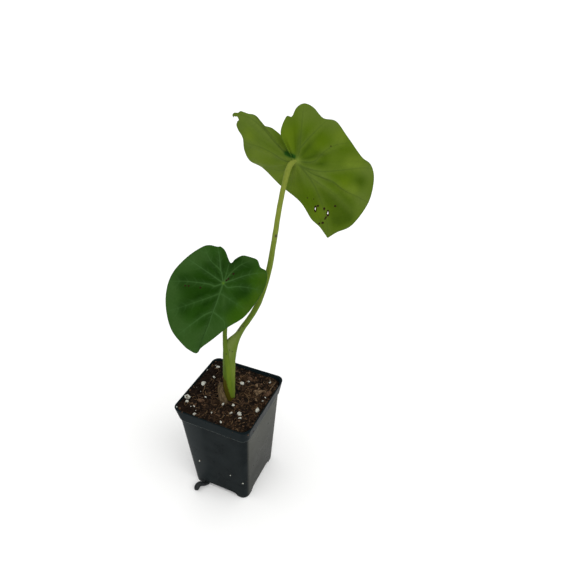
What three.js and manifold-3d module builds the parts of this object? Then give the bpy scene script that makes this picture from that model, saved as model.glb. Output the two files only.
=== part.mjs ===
// Young elephant ear in a square nursery pot. Millimetres, +Z up.
// It is laid out with the middle of the pot's foot at (0, 0, 0), and moved at the end so that the
// origin is on the ground, under the middle of the whole object's box.
import * as THREE from 'three';
import { mergeVertices } from 'three/addons/utils/BufferGeometryUtils.js';
import Module from 'manifold-3d';

const wasm = await Module();
wasm.setup();

// Driving dimensions: the pot
const POT_WIDTH = 63.5;
const POT_HEIGHT = 89;
const POT_FOOT_WIDTH = 49;
const POT_CORNER = 5.6;
const POT_WALL = 1;
const BAND_HEIGHT = 9;
const BAND_STEP = 2.4;
const ARCH_HEIGHT = 3.8;
const ARCH_HALF_WIDTH = 14.5;
const ARCH_SLOPE = 4.5;
const FLOOR = 1.2;
const DRAIN_RADIUS = 3.5;
const DRAIN_OFFSET = 15;

// Driving dimensions: the plant
const GAP = 0.3;
const SOIL_LEVEL = 86.9;
const BLADE_THICKNESS = 0.8;
const CORM_TOP = 80;
const CORM_RADIUS = 8.5;
const CORM_HEIGHT = 22;

// Direction in which both leaves lean and fan out, in degrees about the vertical
const LEAF_FACING = 24;

// A seeded random number in 0 to 1, the same on every run
function seeded(seed) {
  let state = seed;
  return () => {
    state = (state * 1664525 + 1013904223) % 4294967296;
    return state / 4294967296;
  };
}

function blend(from, to, amount) {
  return from + (to - from) * amount;
}

function smooth(edge0, edge1, value) {
  const t = Math.min(1, Math.max(0, (value - edge0) / (edge1 - edge0)));
  return t * t * (3 - 2 * t);
}

// Solids: geometry to manifold and back
function toSolid(geometry) {
  const plain = geometry.clone();
  plain.deleteAttribute('normal');
  plain.deleteAttribute('uv');
  const merged = mergeVertices(plain, 1e-4);
  return new wasm.Manifold(new wasm.Mesh({
    numProp: 3,
    vertProperties: new Float32Array(merged.attributes.position.array),
    triVerts: new Uint32Array(merged.index.array),
  }));
}

function toGeometry(solid) {
  const mesh = solid.getMesh();
  const geometry = new THREE.BufferGeometry();
  geometry.setAttribute('position', new THREE.Float32BufferAttribute(mesh.vertProperties, 3));
  geometry.setIndex(Array.from(mesh.triVerts));
  geometry.computeVertexNormals();
  return geometry;
}

// The largest of the bodies that a cut leaves
function largest(solid) {
  return solid.decompose().reduce((best, body) => (body.volume() > best.volume() ? body : best));
}

function geometryFrom(points, faces) {
  const geometry = new THREE.BufferGeometry();
  const values = points.flatMap((p) => p.toArray());
  geometry.setAttribute('position', new THREE.Float32BufferAttribute(values, 3));
  geometry.setIndex(faces);
  return geometry;
}

// Skin over rings of equally many points that run anticlockwise seen from the last ring, with a
// fan over each end
function loft(rings) {
  const count = rings[0].length;
  const points = rings.flat();
  const faces = [];
  for (let k = 0; k + 1 < rings.length; k += 1) {
    for (let i = 0; i < count; i += 1) {
      const a = k * count + i;
      const b = k * count + (i + 1) % count;
      faces.push(a, b, b + count, a, b + count, a + count);
    }
  }
  for (const [k, flip] of [[0, true], [rings.length - 1, false]]) {
    const centre = points.length;
    points.push(rings[k].reduce((sum, p) => sum.add(p), new THREE.Vector3()).divideScalar(count));
    for (let i = 0; i < count; i += 1) {
      const a = k * count + i;
      const b = k * count + (i + 1) % count;
      faces.push(...(flip ? [centre, b, a] : [centre, a, b]));
    }
  }
  return geometryFrom(points, faces);
}

// Square ring with round corners at height z; extra points along each side where asked for
function squareRing(width, corner, z, perCorner = 5, perSide = 0) {
  const reach = width / 2 - corner;
  const ring = [];
  for (let side = 0; side < 4; side += 1) {
    const start = (side * Math.PI) / 2;
    const cx = reach * Math.SQRT2 * Math.cos(start + Math.PI / 4);
    const cy = reach * Math.SQRT2 * Math.sin(start + Math.PI / 4);
    for (let i = 0; i <= perCorner; i += 1) {
      const angle = start + (i / perCorner) * (Math.PI / 2);
      ring.push(new THREE.Vector3(cx + corner * Math.cos(angle), cy + corner * Math.sin(angle), z));
    }
    for (let i = 1; i <= perSide; i += 1) {
      const last = ring[ring.length - i];
      const step = (2 * reach) / (perSide + 1);
      const along = new THREE.Vector3(-Math.sin(start + Math.PI / 2), Math.cos(start + Math.PI / 2), 0);
      ring.push(last.clone().addScaledVector(along, step * i));
    }
  }
  return ring;
}

// Nursery pot
const BAND_BOTTOM = POT_HEIGHT - BAND_HEIGHT;
const BODY_TOP_WIDTH = POT_WIDTH - 2 * BAND_STEP;
const LEDGE = 0.5;
const LIP = 0.4;
const BAND_DRAFT = 3.9;
const FLOOR_TOP = ARCH_HEIGHT + FLOOR;
const ARCH_END = ARCH_HALF_WIDTH + ARCH_SLOPE / 2;
const POT_CORNER_WALL = 1.4;

function bodyWidth(z) {
  return blend(POT_FOOT_WIDTH, BODY_TOP_WIDTH, z / BAND_BOTTOM);
}

// The rim band flares from the body out to the rim
function bandWidth(z) {
  return POT_WIDTH - (BAND_DRAFT * (POT_HEIGHT - z)) / BAND_HEIGHT;
}

// A plain upright cylinder
function upright(x, y, radius, bottom, top) {
  const cylinder = new THREE.CylinderGeometry(radius, radius, top - bottom, 20);
  cylinder.rotateX(Math.PI / 2);
  cylinder.translate(x, y, (bottom + top) / 2);
  return toSolid(cylinder);
}

// The room inside the pot, drawn in by inset from the walls and the floor
function cavity(top, inset) {
  const shrink = 2 * (POT_WALL + inset);
  const corner = POT_CORNER - POT_WALL - inset;
  const ledge = BAND_BOTTOM - LEDGE + POT_WALL + inset;
  const bottom = FLOOR_TOP + inset;
  const room = toSolid(loft([
    squareRing(bodyWidth(bottom) - shrink, corner, bottom),
    squareRing(bodyWidth(ledge) - shrink, corner, ledge),
    squareRing(bandWidth(ledge + LEDGE) - shrink, corner, ledge + LEDGE),
    squareRing(bandWidth(top) - shrink, corner, top),
  ]));
  const pocketRadius = (POT_FOOT_WIDTH / 2 - POT_CORNER_WALL - ARCH_END) / 2;
  const pocketPlace = ARCH_END + pocketRadius;
  const pocket = upright(0, 0, pocketRadius - inset, FLOOR + inset, bottom + 1);
  let inside = room;
  for (const sx of [-1, 1]) {
    for (const sy of [-1, 1]) {
      inside = inside.add(pocket.translate([sx * pocketPlace, sy * pocketPlace, 0]));
    }
  }
  return inside;
}

// A long bar with the outline of the arch under each side, lying along Y
function archBar() {
  const below = -1;
  const end = ARCH_END;
  const start = ARCH_HALF_WIDTH - ARCH_SLOPE / 2;
  const shape = new THREE.Shape();
  shape.moveTo(-end, below);
  shape.lineTo(end, below);
  shape.lineTo(end, 0);
  shape.bezierCurveTo(ARCH_HALF_WIDTH, 0, ARCH_HALF_WIDTH, ARCH_HEIGHT, start, ARCH_HEIGHT);
  shape.lineTo(-start, ARCH_HEIGHT);
  shape.bezierCurveTo(-ARCH_HALF_WIDTH, ARCH_HEIGHT, -ARCH_HALF_WIDTH, 0, -end, 0);
  shape.closePath();
  const settings = { depth: POT_WIDTH, bevelEnabled: false, curveSegments: 6 };
  const bar = new THREE.ExtrudeGeometry(shape, settings);
  bar.translate(0, 0, -POT_WIDTH / 2);
  bar.rotateX(Math.PI / 2);
  return bar;
}

function nurseryPot() {
  let pot = toSolid(loft([
    squareRing(POT_FOOT_WIDTH, POT_CORNER, 0),
    squareRing(BODY_TOP_WIDTH, POT_CORNER, BAND_BOTTOM - LEDGE),
    squareRing(bandWidth(BAND_BOTTOM), POT_CORNER, BAND_BOTTOM),
    squareRing(POT_WIDTH, POT_CORNER, POT_HEIGHT - LIP),
    squareRing(POT_WIDTH - LIP, POT_CORNER, POT_HEIGHT),
  ]));
  pot = pot.subtract(cavity(POT_HEIGHT + 1, 0));
  pot = pot.subtract(toSolid(archBar()));
  pot = pot.subtract(toSolid(archBar().rotateZ(Math.PI / 2)));
  const holes = [[0, 0], [1, 0], [-1, 0], [0, 1], [0, -1]];
  const drill = upright(0, 0, DRAIN_RADIUS, ARCH_HEIGHT - FLOOR, FLOOR_TOP + FLOOR);
  for (const [x, y] of holes) {
    pot = pot.subtract(drill.translate([x * DRAIN_OFFSET, y * DRAIN_OFFSET, 0]));
  }
  return toGeometry(pot);
}

// Stalks: a route of points through which a smooth curve runs, each with the stalk's radius there
function routeCurve(route) {
  const points = route.map(([x, y, z]) => new THREE.Vector3(x, y, z));
  return new THREE.CatmullRomCurve3(points, false, 'catmullrom', 0.5);
}

// Rings square to the curve; bulge(t, angle) adds to the radius on one side
function stalkRings(route, steps, sides, grow = 0, bulge = () => 0) {
  const curve = routeCurve(route);
  const frames = curve.computeFrenetFrames(steps, false);
  const rings = [];
  for (let k = 0; k <= steps; k += 1) {
    const u = k / steps;
    const t = curve.getUtoTmapping(u);
    const place = t * (route.length - 1);
    const before = Math.min(route.length - 2, Math.floor(place));
    const radius = blend(route[before][3], route[before + 1][3], place - before) + grow;
    const centre = curve.getPoint(t);
    const ring = [];
    for (let i = 0; i < sides; i += 1) {
      const angle = (i / sides) * 2 * Math.PI;
      const out = frames.normals[k].clone().multiplyScalar(Math.cos(angle))
        .addScaledVector(frames.binormals[k], Math.sin(angle));
      const heading = THREE.MathUtils.radToDeg(Math.atan2(out.y, out.x));
      ring.push(centre.clone().addScaledVector(out, radius + bulge(centre.z, heading)));
    }
    rings.push(ring);
  }
  return rings;
}

// Stalk of the upper leaf: x, y, z, radius
const UPPER_JOINT = new THREE.Vector3(35.5, 41.5, 264.5);
const UPPER_STALK = [
  [1.3, -0.8, 80.3, 3.2],
  [2.3, -0.3, 101, 3.15],
  [3.2, 0.2, 117, 3.1],
  [4.1, 0.7, 127, 3.1],
  [7, 2.4, 141, 2.7],
  [11.4, 5, 151.2, 2.1],
  [17, 8, 161.4, 1.95],
  [21.5, 10.6, 171.4, 1.9],
  [24.5, 12.7, 181.5, 1.9],
  [27.6, 17.1, 198.4, 1.9],
  [28.9, 23.6, 219.3, 1.7],
  [29.8, 29.9, 239.2, 1.6],
  [30.6, 33.1, 248.5, 1.62],
  [31.5, 35.8, 256.3, 1.7],
  [32.2, 37.9, 260.9, 1.7],
  [33.2, 39.5, 263, 1.7],
  [35.5, 41.5, 264.5, 2],
];

// Pale wing of the sheath, on the side towards the lower stalk
const WING = { bottom: 118, widest: 138.5, top: 147.5, reach: 3.1, heading: -158, spread: 42 };

function wing(z, heading) {
  const off = THREE.MathUtils.euclideanModulo(heading - WING.heading + 180, 360) - 180;
  const rise = smooth(WING.bottom, WING.widest, z) * (1 - smooth(WING.widest, WING.top, z));
  return WING.reach * rise * Math.exp(-((off / WING.spread) ** 2));
}

// Stalk of the lower leaf
const LOWER_JOINT = new THREE.Vector3(6, -5.5, 195);
const LOWER_STALK = [
  [0.3, -2.2, 80.3, 4],
  [1, -1.8, 102, 3.8],
  [1.4, -1.5, 118, 3.45],
  [1.3, -1.2, 131, 2.6],
  [0.8, -1, 140, 1.75],
  [0.9, -0.7, 147.5, 1.55],
  [1.8, -0.5, 158, 1.5],
  [3.2, -1.3, 173, 1.4],
  [4.7, -3.4, 184.7, 1.45],
  [5.7, -4.9, 192, 1.6],
  [6, -5.5, 195, 1.9],
];

function upperStalkSolid(grow) {
  return toSolid(loft(stalkRings(UPPER_STALK, 30, 14, grow, wing)));
}

function lowerStalkSolid(grow) {
  return toSolid(loft(stalkRings(LOWER_STALK, 22, 14, grow)));
}

// Corm: a squat turnip, standing upright
function cormGeometry(grow) {
  const profile = [];
  const steps = 8;
  for (let i = 0; i <= steps; i += 1) {
    const angle = (i / steps) * Math.PI;
    const swell = Math.sin(angle) ** 0.8;
    const narrow = blend(0.62, 1, smooth(0, 0.55, i / steps));
    const z = CORM_TOP - CORM_HEIGHT / 2 - (CORM_HEIGHT / 2 + grow) * Math.cos(angle);
    profile.push(new THREE.Vector2(Math.max(0, (CORM_RADIUS + grow) * swell * narrow), z));
  }
  profile[0].x = 0;
  profile[steps].x = 0;
  const corm = new THREE.LatheGeometry(profile, 18);
  corm.rotateX(Math.PI / 2);
  corm.translate(0.5, -1.6, 0);
  return corm;
}

// Dried leaf base: a crescent that wraps the foot of the stem and thins out upwards
const DRIED = {
  x: 0.5,
  y: -2,
  bottom: 80.6,
  top: 98,
  inner: 4.4,
  thickness: 3.7,
  thinning: 1.1,
  edge: 0.8,
  bump: 0.45,
  ragged: 1.6,
  from: 140,
  to: 300,
};

function driedBase(grow) {
  const steps = 8;
  const across = 12;
  const rings = [];
  for (let k = 0; k <= steps; k += 1) {
    const rise = k / steps;
    const z = blend(DRIED.bottom, DRIED.top, rise);
    const narrow = 46 * rise ** 1.5;
    const outer = DRIED.inner + DRIED.thickness - DRIED.thinning * rise + grow;
    const from = DRIED.from + narrow * 0.7;
    const to = DRIED.to - narrow * 1.5;
    const place = (part, radius) => {
      const angle = THREE.MathUtils.degToRad(blend(from, to, part));
      const ragged = k === steps ? DRIED.ragged * Math.sin(part * 13) : 0;
      const x = DRIED.x + radius * Math.cos(angle);
      const y = DRIED.y + radius * Math.sin(angle);
      return new THREE.Vector3(x, y, z + ragged);
    };
    const outside = [];
    const inside = [];
    for (let i = 0; i <= across; i += 1) {
      const part = i / across;
      const bump = DRIED.bump * Math.sin(part * 19 + rise * 3) * Math.sin(Math.PI * part);
      const thin = DRIED.inner + DRIED.edge;
      outside.push(place(part, blend(thin, outer + bump, Math.sin(Math.PI * part) ** 0.5)));
      inside.unshift(place(part, DRIED.inner - DRIED.edge));
    }
    rings.push([...outside, ...inside]);
  }
  return loft(rings);
}

// Leaf blades. Each is laid out in its own frame at the joint: across, upwards and towards the
// side that faces the viewer. The edge is a closed smooth curve through [across, up, towards] in mm,
// anticlockwise from the notch between the lobes.
const UPPER_BLADE = {
  joint: UPPER_JOINT,
  lean: 0,
  faces: -1,
  quilt: 1,
  edge: [
    [-2.5, 2.5, -1], [-6.8, 10.3, -7.6], [-13.9, 15, -14], [-19.2, 15.9, -16.8], [-21.2, 16.8, -19.7],
    [-22.9, 17.85, -22.3], [-24.8, 19, -25.3], [-27, 19.3, -28.2], [-30.1, 19.1, -29.9],
    [-33.1, 19.4, -32.2], [-35.4, 19.4, -34.1], [-37, 18.3, -34.4], [-39.5, 17.8, -36],
    [-40.7, 16.8, -36], [-40.4, 15.4, -34.8], [-37.6, 14.1, -31], [-38.1, 11.7, -30.5],
    [-36.8, 8.9, -28.3], [-33.9, 5.3, -24.4], [-33.4, -3.1, -26],
    [-30, -10.3, -25.4], [-21.4, -13.2, -20.2], [-10, -21.5, -12], [3, -29.5, -4], [10, -41, -3],
    [16, -48, -4], [22, -57, -6], [28, -52.5, -5], [37.5, -46.5, -4], [47.5, -32.5, -8],
    [50, -16.5, -9], [47.5, -7, -11], [41, -0.5, -8], [31, 13, -7], [24, 21.5, -9], [16, 24.5, -6],
    [10, 30.5, -7], [4.5, 32.5, -8], [0, 30.5, -6], [-2.7, 25.7, -5], [-6, 25.5, -5], [-9.3, 17, -2],
    [-5.5, 8, 0],
  ],
  veins: [-154, -125, -98, -69, -45, -33, -10, 14, 50, 82, 112, 150, 174],
};

const LOWER_BLADE = {
  joint: LOWER_JOINT,
  lean: 35,
  faces: 1,
  quilt: 0.5,
  edge: [
    [4.5, 13, -1], [1, 20.5, -3], [-2, 23.5, -5], [-4.5, 23.5, -4], [-9.5, 24.5, -4], [-14.5, 23, -3],
    [-23.5, 16.5, -1], [-32, 7, 0], [-36, -4, 1], [-36.5, -17, 0], [-33.5, -30, -2], [-26.5, -39.5, -3],
    [-22, -43.5, -4], [-18, -45.5, -6], [-15, -42, -4], [-7, -36, -2], [2.5, -28.5, 0], [13.6, -21.3, 4],
    [23, -9.5, 8], [27.5, -0.5, 10], [28, 7, 10], [24, 10, 7], [22, 14.5, 6], [17.5, 16.5, 4],
    [12.5, 17.5, 2], [8, 15.5, 0],
  ],
  veins: [-151, -130, -112, -88, -49, -10, 17, 40, 100, 120, 145, 177],
};

const PER_EDGE_POINT = 3;
const BLADE_RINGS = [0.2, 0.42, 0.64, 0.84, 1];
const BEND = 1.6;
const PUFF = 1.4;

function bladeFrame(lean) {
  const facing = THREE.MathUtils.degToRad(LEAF_FACING);
  const back = THREE.MathUtils.degToRad(lean);
  const across = new THREE.Vector3(Math.cos(facing), Math.sin(facing), 0);
  const towards = new THREE.Vector3(
    Math.sin(facing) * Math.cos(back),
    -Math.cos(facing) * Math.cos(back),
    Math.sin(back),
  );
  const up = new THREE.Vector3().crossVectors(towards, across);
  return { across, up, towards };
}

// How far a direction lies between its two neighbouring veins, as a hump of 0 to 1
function betweenVeins(veins, angle) {
  const next = veins.find((vein) => vein > angle) ?? veins[0] + 360;
  const previous = veins.findLast((vein) => vein <= angle) ?? veins.at(-1) - 360;
  return Math.sin((Math.PI * (angle - previous)) / (next - previous));
}

// Middle surface, then both faces half a thickness off it, split into triangles alike
function bladeGeometry(blade, thickness = BLADE_THICKNESS) {
  const { across, up, towards } = bladeFrame(blade.lean);
  const edge = blade.edge.map((p) => new THREE.Vector3(...p));
  const curve = new THREE.CatmullRomCurve3(edge, true, 'catmullrom', 0.5);
  const count = blade.edge.length * PER_EDGE_POINT;
  const middle = [blade.joint.clone()];
  for (const t of BLADE_RINGS) {
    for (let i = 0; i < count; i += 1) {
      const rim = curve.getPoint(i / count);
      const angle = THREE.MathUtils.radToDeg(Math.atan2(rim.y, rim.x));
      const hump = betweenVeins(blade.veins, angle) * Math.sin(Math.PI * t ** PUFF);
      const lift = rim.z * t ** BEND + blade.faces * blade.quilt * hump;
      middle.push(blade.joint.clone()
        .addScaledVector(across, rim.x * t)
        .addScaledVector(up, rim.y * t)
        .addScaledVector(towards, lift));
    }
  }
  const faces = [];
  const last = 1 + (BLADE_RINGS.length - 1) * count;
  for (let i = 0; i < count; i += 1) {
    const j = (i + 1) % count;
    faces.push(0, 1 + i, 1 + j);
    for (let inner = 1; inner < last; inner += count) {
      faces.push(inner + i, inner + count + i, inner + count + j);
      faces.push(inner + i, inner + count + j, inner + j);
    }
  }
  const surface = geometryFrom(middle, faces);
  surface.computeVertexNormals();
  const normal = new THREE.Vector3();
  const offset = (side) => middle.map((p, i) => p.clone().addScaledVector(
    normal.fromBufferAttribute(surface.attributes.normal, i),
    (side * thickness) / 2,
  ));
  const size = middle.length;
  const skin = [...faces];
  for (let i = 0; i < faces.length; i += 3) {
    skin.push(faces[i] + size, faces[i + 2] + size, faces[i + 1] + size);
  }
  for (let i = 0; i < count; i += 1) {
    const a = last + i;
    const b = last + (i + 1) % count;
    skin.push(a, a + size, b + size, a, b + size, b);
  }
  return geometryFrom([...offset(1), ...offset(-1)], skin);
}

// What is missing from the upper blade: two insect holes and the notch under its hooked lobe, as
// across, up, half width, half height
const BITES = [[12.8, -33.9, 0.8, 1.3], [21.1, -37.5, 0.9, 1.4], [-38.5, 14.9, 2, 1.4]];
const BITE_DEPTH = 90;

function upperBlade() {
  const { across, up, towards } = bladeFrame(UPPER_BLADE.lean);
  let blade = toSolid(bladeGeometry(UPPER_BLADE));
  for (const [x, y, halfWidth, halfHeight] of BITES) {
    const bite = new THREE.CylinderGeometry(1, 1, BITE_DEPTH, 8);
    bite.rotateX(Math.PI / 2);
    bite.scale(halfWidth, halfHeight, 1);
    bite.applyMatrix4(new THREE.Matrix4().makeBasis(across, up, towards));
    const place = UPPER_JOINT.clone().addScaledVector(across, x).addScaledVector(up, y);
    bite.translate(place.x, place.y, place.z);
    blade = blade.subtract(toSolid(bite));
  }
  return toGeometry(blade);
}

// Potting mix: a bumpy bed, with perlite grains and bark chips sunk into it.
// Larger perlite grains: x, y, width
const GRAINS = [
  [-26.8, -16.5, 4.8], [-23.1, 0.3, 4.2], [-19.7, 10.6, 2.6], [-22.3, 21.3, 3], [16, -13.8, 4],
  [18.4, -17.7, 2.6], [26.2, -4.9, 3.9], [3.2, 14.4, 3], [22.2, 24.6, 2.3], [8, -8.9, 2.6],
  [10, -16, 2], [7.5, -26.5, 2.2], [-13.2, -28.3, 2.4], [-24.6, -20.6, 2.5], [-17.6, -22.4, 1.9],
  [0.4, -10.9, 2.2], [25.9, 8.4, 1.8], [25.8, 4.8, 1.8], [-28.6, 14.7, 1.9],
];
const GRAIN_FLATNESS = 0.7;
const SMALL_GRAINS = 20;
const SOIL_REACH = 27.5;
const STEM_CLEARING = 9;

// Bark chips: x, y, length, width, turn in degrees
const CHIPS = [
  [18, 12.3, 7, 4, 30], [26.5, 13.3, 6, 4, 75], [-15.6, -15.5, 5, 3, 10], [6.2, 21.6, 6, 3, 160],
];
const CHIP_THICKNESS = 2;

// The mix is heaped to the rim on the viewer's left and sinks to the right; it lies calmer
// along the walls
function soilHeight(x, y) {
  const slope = -0.045 * x - 0.012 * y;
  const broad = 0.55 * Math.sin(x * 0.31 + 1.3) * Math.cos(y * 0.27 - 0.4);
  const fine = 0.45 * Math.sin(x * 0.83 + y * 0.41) * Math.cos(y * 0.77 - x * 0.36 + 2);
  const calm = 1 - 0.7 * smooth(24, 31, Math.max(Math.abs(x), Math.abs(y)));
  return Math.min(SOIL_LEVEL + slope + (broad + fine) * calm, POT_HEIGHT - GAP);
}

function soilBed() {
  const rings = 9;
  const edge = squareRing(POT_WIDTH - POT_WALL, POT_CORNER - POT_WALL, 0, 3, 6);
  const count = edge.length;
  const top = [];
  for (let k = rings; k >= 1; k -= 1) {
    top.push(edge.map((p) => {
      const x = (p.x * k) / rings;
      const y = (p.y * k) / rings;
      return new THREE.Vector3(x, y, soilHeight(x, y));
    }));
  }
  const bottom = edge.map((p) => new THREE.Vector3(p.x, p.y, FLOOR / 2));
  const bottomMiddle = new THREE.Vector3(0, 0, FLOOR / 2);
  const topMiddle = new THREE.Vector3(0, 0, soilHeight(0, 0));
  const points = [...bottom, ...top.flat(), bottomMiddle, topMiddle];
  const faces = [];
  for (let k = 0; k <= rings; k += 1) {
    for (let i = 0; i < count; i += 1) {
      const a = k * count + i;
      const b = k * count + (i + 1) % count;
      if (k < rings) {
        faces.push(a, b, b + count, a, b + count, a + count);
      } else {
        faces.push(a, b, points.length - 1);
      }
    }
  }
  for (let i = 0; i < count; i += 1) {
    faces.push(points.length - 2, (i + 1) % count, i);
  }
  return toSolid(geometryFrom(points, faces));
}

// A lump with flat facets, sunk into the mix by half its height
function lump(x, y, width, height, stretch, turn, random) {
  const plain = new THREE.IcosahedronGeometry(0.5, 0).deleteAttribute('uv').deleteAttribute('normal');
  const geometry = mergeVertices(plain, 1e-4);
  const corners = geometry.attributes.position;
  const corner = new THREE.Vector3();
  for (let i = 0; i < corners.count; i += 1) {
    corner.fromBufferAttribute(corners, i).multiplyScalar(blend(0.82, 1.18, random()));
    corners.setXYZ(i, corner.x * width * stretch, corner.y * width, corner.z * height);
  }
  geometry.rotateZ(THREE.MathUtils.degToRad(turn));
  geometry.translate(x, y, soilHeight(x, y) + 0.16 * height);
  return toSolid(geometry);
}

function pottingMix(holes) {
  const random = seeded(7);
  const lumps = [];
  for (const [x, y, width] of GRAINS) {
    lumps.push(lump(x, y, width, width * GRAIN_FLATNESS, 1, 360 * random(), random));
  }
  for (const [x, y, length, width, turn] of CHIPS) {
    lumps.push(lump(x, y, width, CHIP_THICKNESS, length / width, turn, random));
  }
  for (let i = 0; i < SMALL_GRAINS; i += 1) {
    const x = blend(-SOIL_REACH, SOIL_REACH, random());
    const y = blend(-SOIL_REACH, SOIL_REACH, random());
    const width = blend(1.3, 2.3, random());
    if (Math.hypot(x, y) > STEM_CLEARING) {
      lumps.push(lump(x, y, width, width, 1, 0, random));
    }
  }
  let mix = soilBed();
  for (const piece of lumps) {
    mix = mix.add(piece);
  }
  mix = mix.intersect(cavity(POT_HEIGHT + 6, GAP));
  for (const hole of holes) {
    mix = mix.subtract(hole);
  }
  return toGeometry(largest(mix));
}

// Dark root end, lying on the ground in front of the arch: x, y, z, radius
const ROOT = [
  [-11.5, -20.5, 1.6, 0.8],
  [-12.4, -24.6, 1.7, 1.05],
  [-14.4, -27.3, 2.9, 1.6],
  [-16.9, -28.7, 3.4, 2],
  [-18.2, -30.6, 2.9, 2.2],
  [-18, -32.8, 2.3, 2.1],
  [-17.5, -34, 2.1, 1.5],
];

const ROOT_LIFT = 0.05;

function drainRoot() {
  const rings = stalkRings(ROOT, 12, 10);
  for (const point of rings.flat()) {
    point.z = Math.max(ROOT_LIFT, point.z);
  }
  return loft(rings);
}

// Cut the parts of the stem out of each other, and the blades' undersides out of the stalks
const cleared = BLADE_THICKNESS + 2 * GAP;
const upperSpace = upperStalkSolid(GAP);
const lowerSpace = lowerStalkSolid(GAP);
const underUpperBlade = upperStalkSolid(0).subtract(toSolid(bladeGeometry(UPPER_BLADE, cleared)));
const underLowerBlade = lowerStalkSolid(0).subtract(toSolid(bladeGeometry(LOWER_BLADE, cleared)));
const upperStalk = largest(underUpperBlade);
const lowerStalk = largest(underLowerBlade.subtract(upperSpace));
const driedLeafBase = largest(toSolid(driedBase(0)).subtract(upperSpace).subtract(lowerSpace));
const mixHoles = [upperSpace, lowerSpace, toSolid(cormGeometry(GAP)), toSolid(driedBase(GAP))];

function material(color, roughness) {
  return new THREE.MeshStandardMaterial({ color, roughness, metalness: 0 });
}

const pieces = [
  ['nursery_pot', nurseryPot(), material('#2b3031', 0.6)],
  ['potting_mix', pottingMix(mixHoles), material('#2e2119', 0.95)],
  ['corm', cormGeometry(0), material('#6b5238', 0.85)],
  ['dried_leaf_base', toGeometry(driedLeafBase), material('#5a4632', 0.9)],
  ['lower_petiole', toGeometry(lowerStalk), material('#5f7a2c', 0.55)],
  ['lower_leaf_blade', bladeGeometry(LOWER_BLADE), material('#28481a', 0.5)],
  ['upper_petiole', toGeometry(upperStalk), material('#71822f', 0.55)],
  ['upper_leaf_blade', upperBlade(), material('#56701f', 0.55)],
  ['drain_root', drainRoot(), material('#1c1a18', 0.85)],
];

const plant = new THREE.Group();
for (const [name, geometry, look] of pieces) {
  const mesh = new THREE.Mesh(geometry, look);
  mesh.name = name;
  plant.add(mesh);
}

const box = new THREE.Box3().setFromObject(plant);
const middle = box.getCenter(new THREE.Vector3());
plant.position.set(-middle.x, -middle.y, -box.min.z);

export default plant;
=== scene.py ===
import math

import bmesh
import bpy
import numpy as np
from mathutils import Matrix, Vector, noise
from mathutils.kdtree import KDTree


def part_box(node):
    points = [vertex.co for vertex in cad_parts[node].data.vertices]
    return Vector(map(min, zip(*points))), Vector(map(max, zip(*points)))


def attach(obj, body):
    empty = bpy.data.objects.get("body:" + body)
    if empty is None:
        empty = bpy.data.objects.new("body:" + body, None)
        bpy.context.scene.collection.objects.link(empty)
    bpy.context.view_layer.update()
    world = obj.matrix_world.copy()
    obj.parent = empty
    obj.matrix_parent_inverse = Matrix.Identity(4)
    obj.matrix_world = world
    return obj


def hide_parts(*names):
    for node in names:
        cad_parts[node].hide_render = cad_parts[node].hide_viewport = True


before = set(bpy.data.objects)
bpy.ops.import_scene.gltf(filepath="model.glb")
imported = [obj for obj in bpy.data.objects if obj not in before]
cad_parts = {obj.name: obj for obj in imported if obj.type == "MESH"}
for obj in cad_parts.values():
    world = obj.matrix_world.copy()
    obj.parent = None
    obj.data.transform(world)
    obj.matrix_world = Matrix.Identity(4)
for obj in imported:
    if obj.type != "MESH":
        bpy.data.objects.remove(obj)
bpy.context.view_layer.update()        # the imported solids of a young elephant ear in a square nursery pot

# Lengths are in millimetres from the middle of the pot's foot, and turn to metres in new_mesh
MM = 0.001
POT_LOW, POT_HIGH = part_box("nursery_pot")
POT_MIDDLE = Vector(((POT_LOW.x + POT_HIGH.x) / 2, (POT_LOW.y + POT_HIGH.y) / 2, POT_LOW.z))


# Places and plain helpers
def in_frame(points):
    return np.asarray(points, float) * MM + np.array(POT_MIDDLE)


def unit(vectors):
    return vectors / np.maximum(np.linalg.norm(vectors, axis=-1, keepdims=True), 1e-12)


def blend(start, end, share):
    return start + (end - start) * share


def smooth(low, high, value):
    share = np.clip((value - low) / (high - low), 0, 1)
    return share * share * (3 - 2 * share)


def nearby(gap, width):
    """1 at no distance, and softly less over about this width."""
    return np.exp(-((gap / width) ** 2))


def headings(places):
    """Directions of places seen from the origin, in degrees."""
    return np.degrees(np.arctan2(places[:, 1], places[:, 0]))


def round_turn(sides):
    return np.arange(sides) / sides * 2 * math.pi


def travelled(line):
    """Length of a line of points from its start to each of them."""
    return np.concatenate([[0], np.cumsum(np.linalg.norm(np.diff(line, axis=0), axis=1))])


def direction(azimuth, elevation):
    """The way out from the object at an azimuth and an elevation in degrees, with length 1."""
    a, e = math.radians(azimuth), math.radians(elevation)
    return math.sin(a) * math.cos(e), -math.cos(a) * math.cos(e), math.sin(e)


def rough(points, size, seed=0):
    """Soft noise of -1 to 1 at each point, with humps about size mm across."""
    shift = Vector((seed * 17.3, seed * 5.9, seed * 11.1))
    return np.array([noise.noise(Vector(p) / size + shift) for p in points])


# Camera: where it stands round the pot, and the point that it looks at
CAMERA_AZIMUTH = 24.183
CAMERA_ELEVATION = 35.298
CAMERA_DISTANCE = 371.05
CAMERA_AIM = (39.638, 20.207, 184.359)
CAMERA_LENS = 35
SENSOR_WIDTH = 36


def make_camera():
    back = Vector(direction(CAMERA_AZIMUTH, CAMERA_ELEVATION))
    data = bpy.data.cameras.new("camera")
    data.lens = CAMERA_LENS
    data.sensor_width = SENSOR_WIDTH
    data.clip_start = 0.01
    camera = bpy.data.objects.new("camera", data)
    camera.location = Vector(in_frame(CAMERA_AIM)) + back * CAMERA_DISTANCE * MM
    camera.rotation_euler = back.to_track_quat("Z", "Y").to_euler()
    bpy.context.scene.collection.objects.link(camera)
    bpy.context.scene.camera = camera


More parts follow.
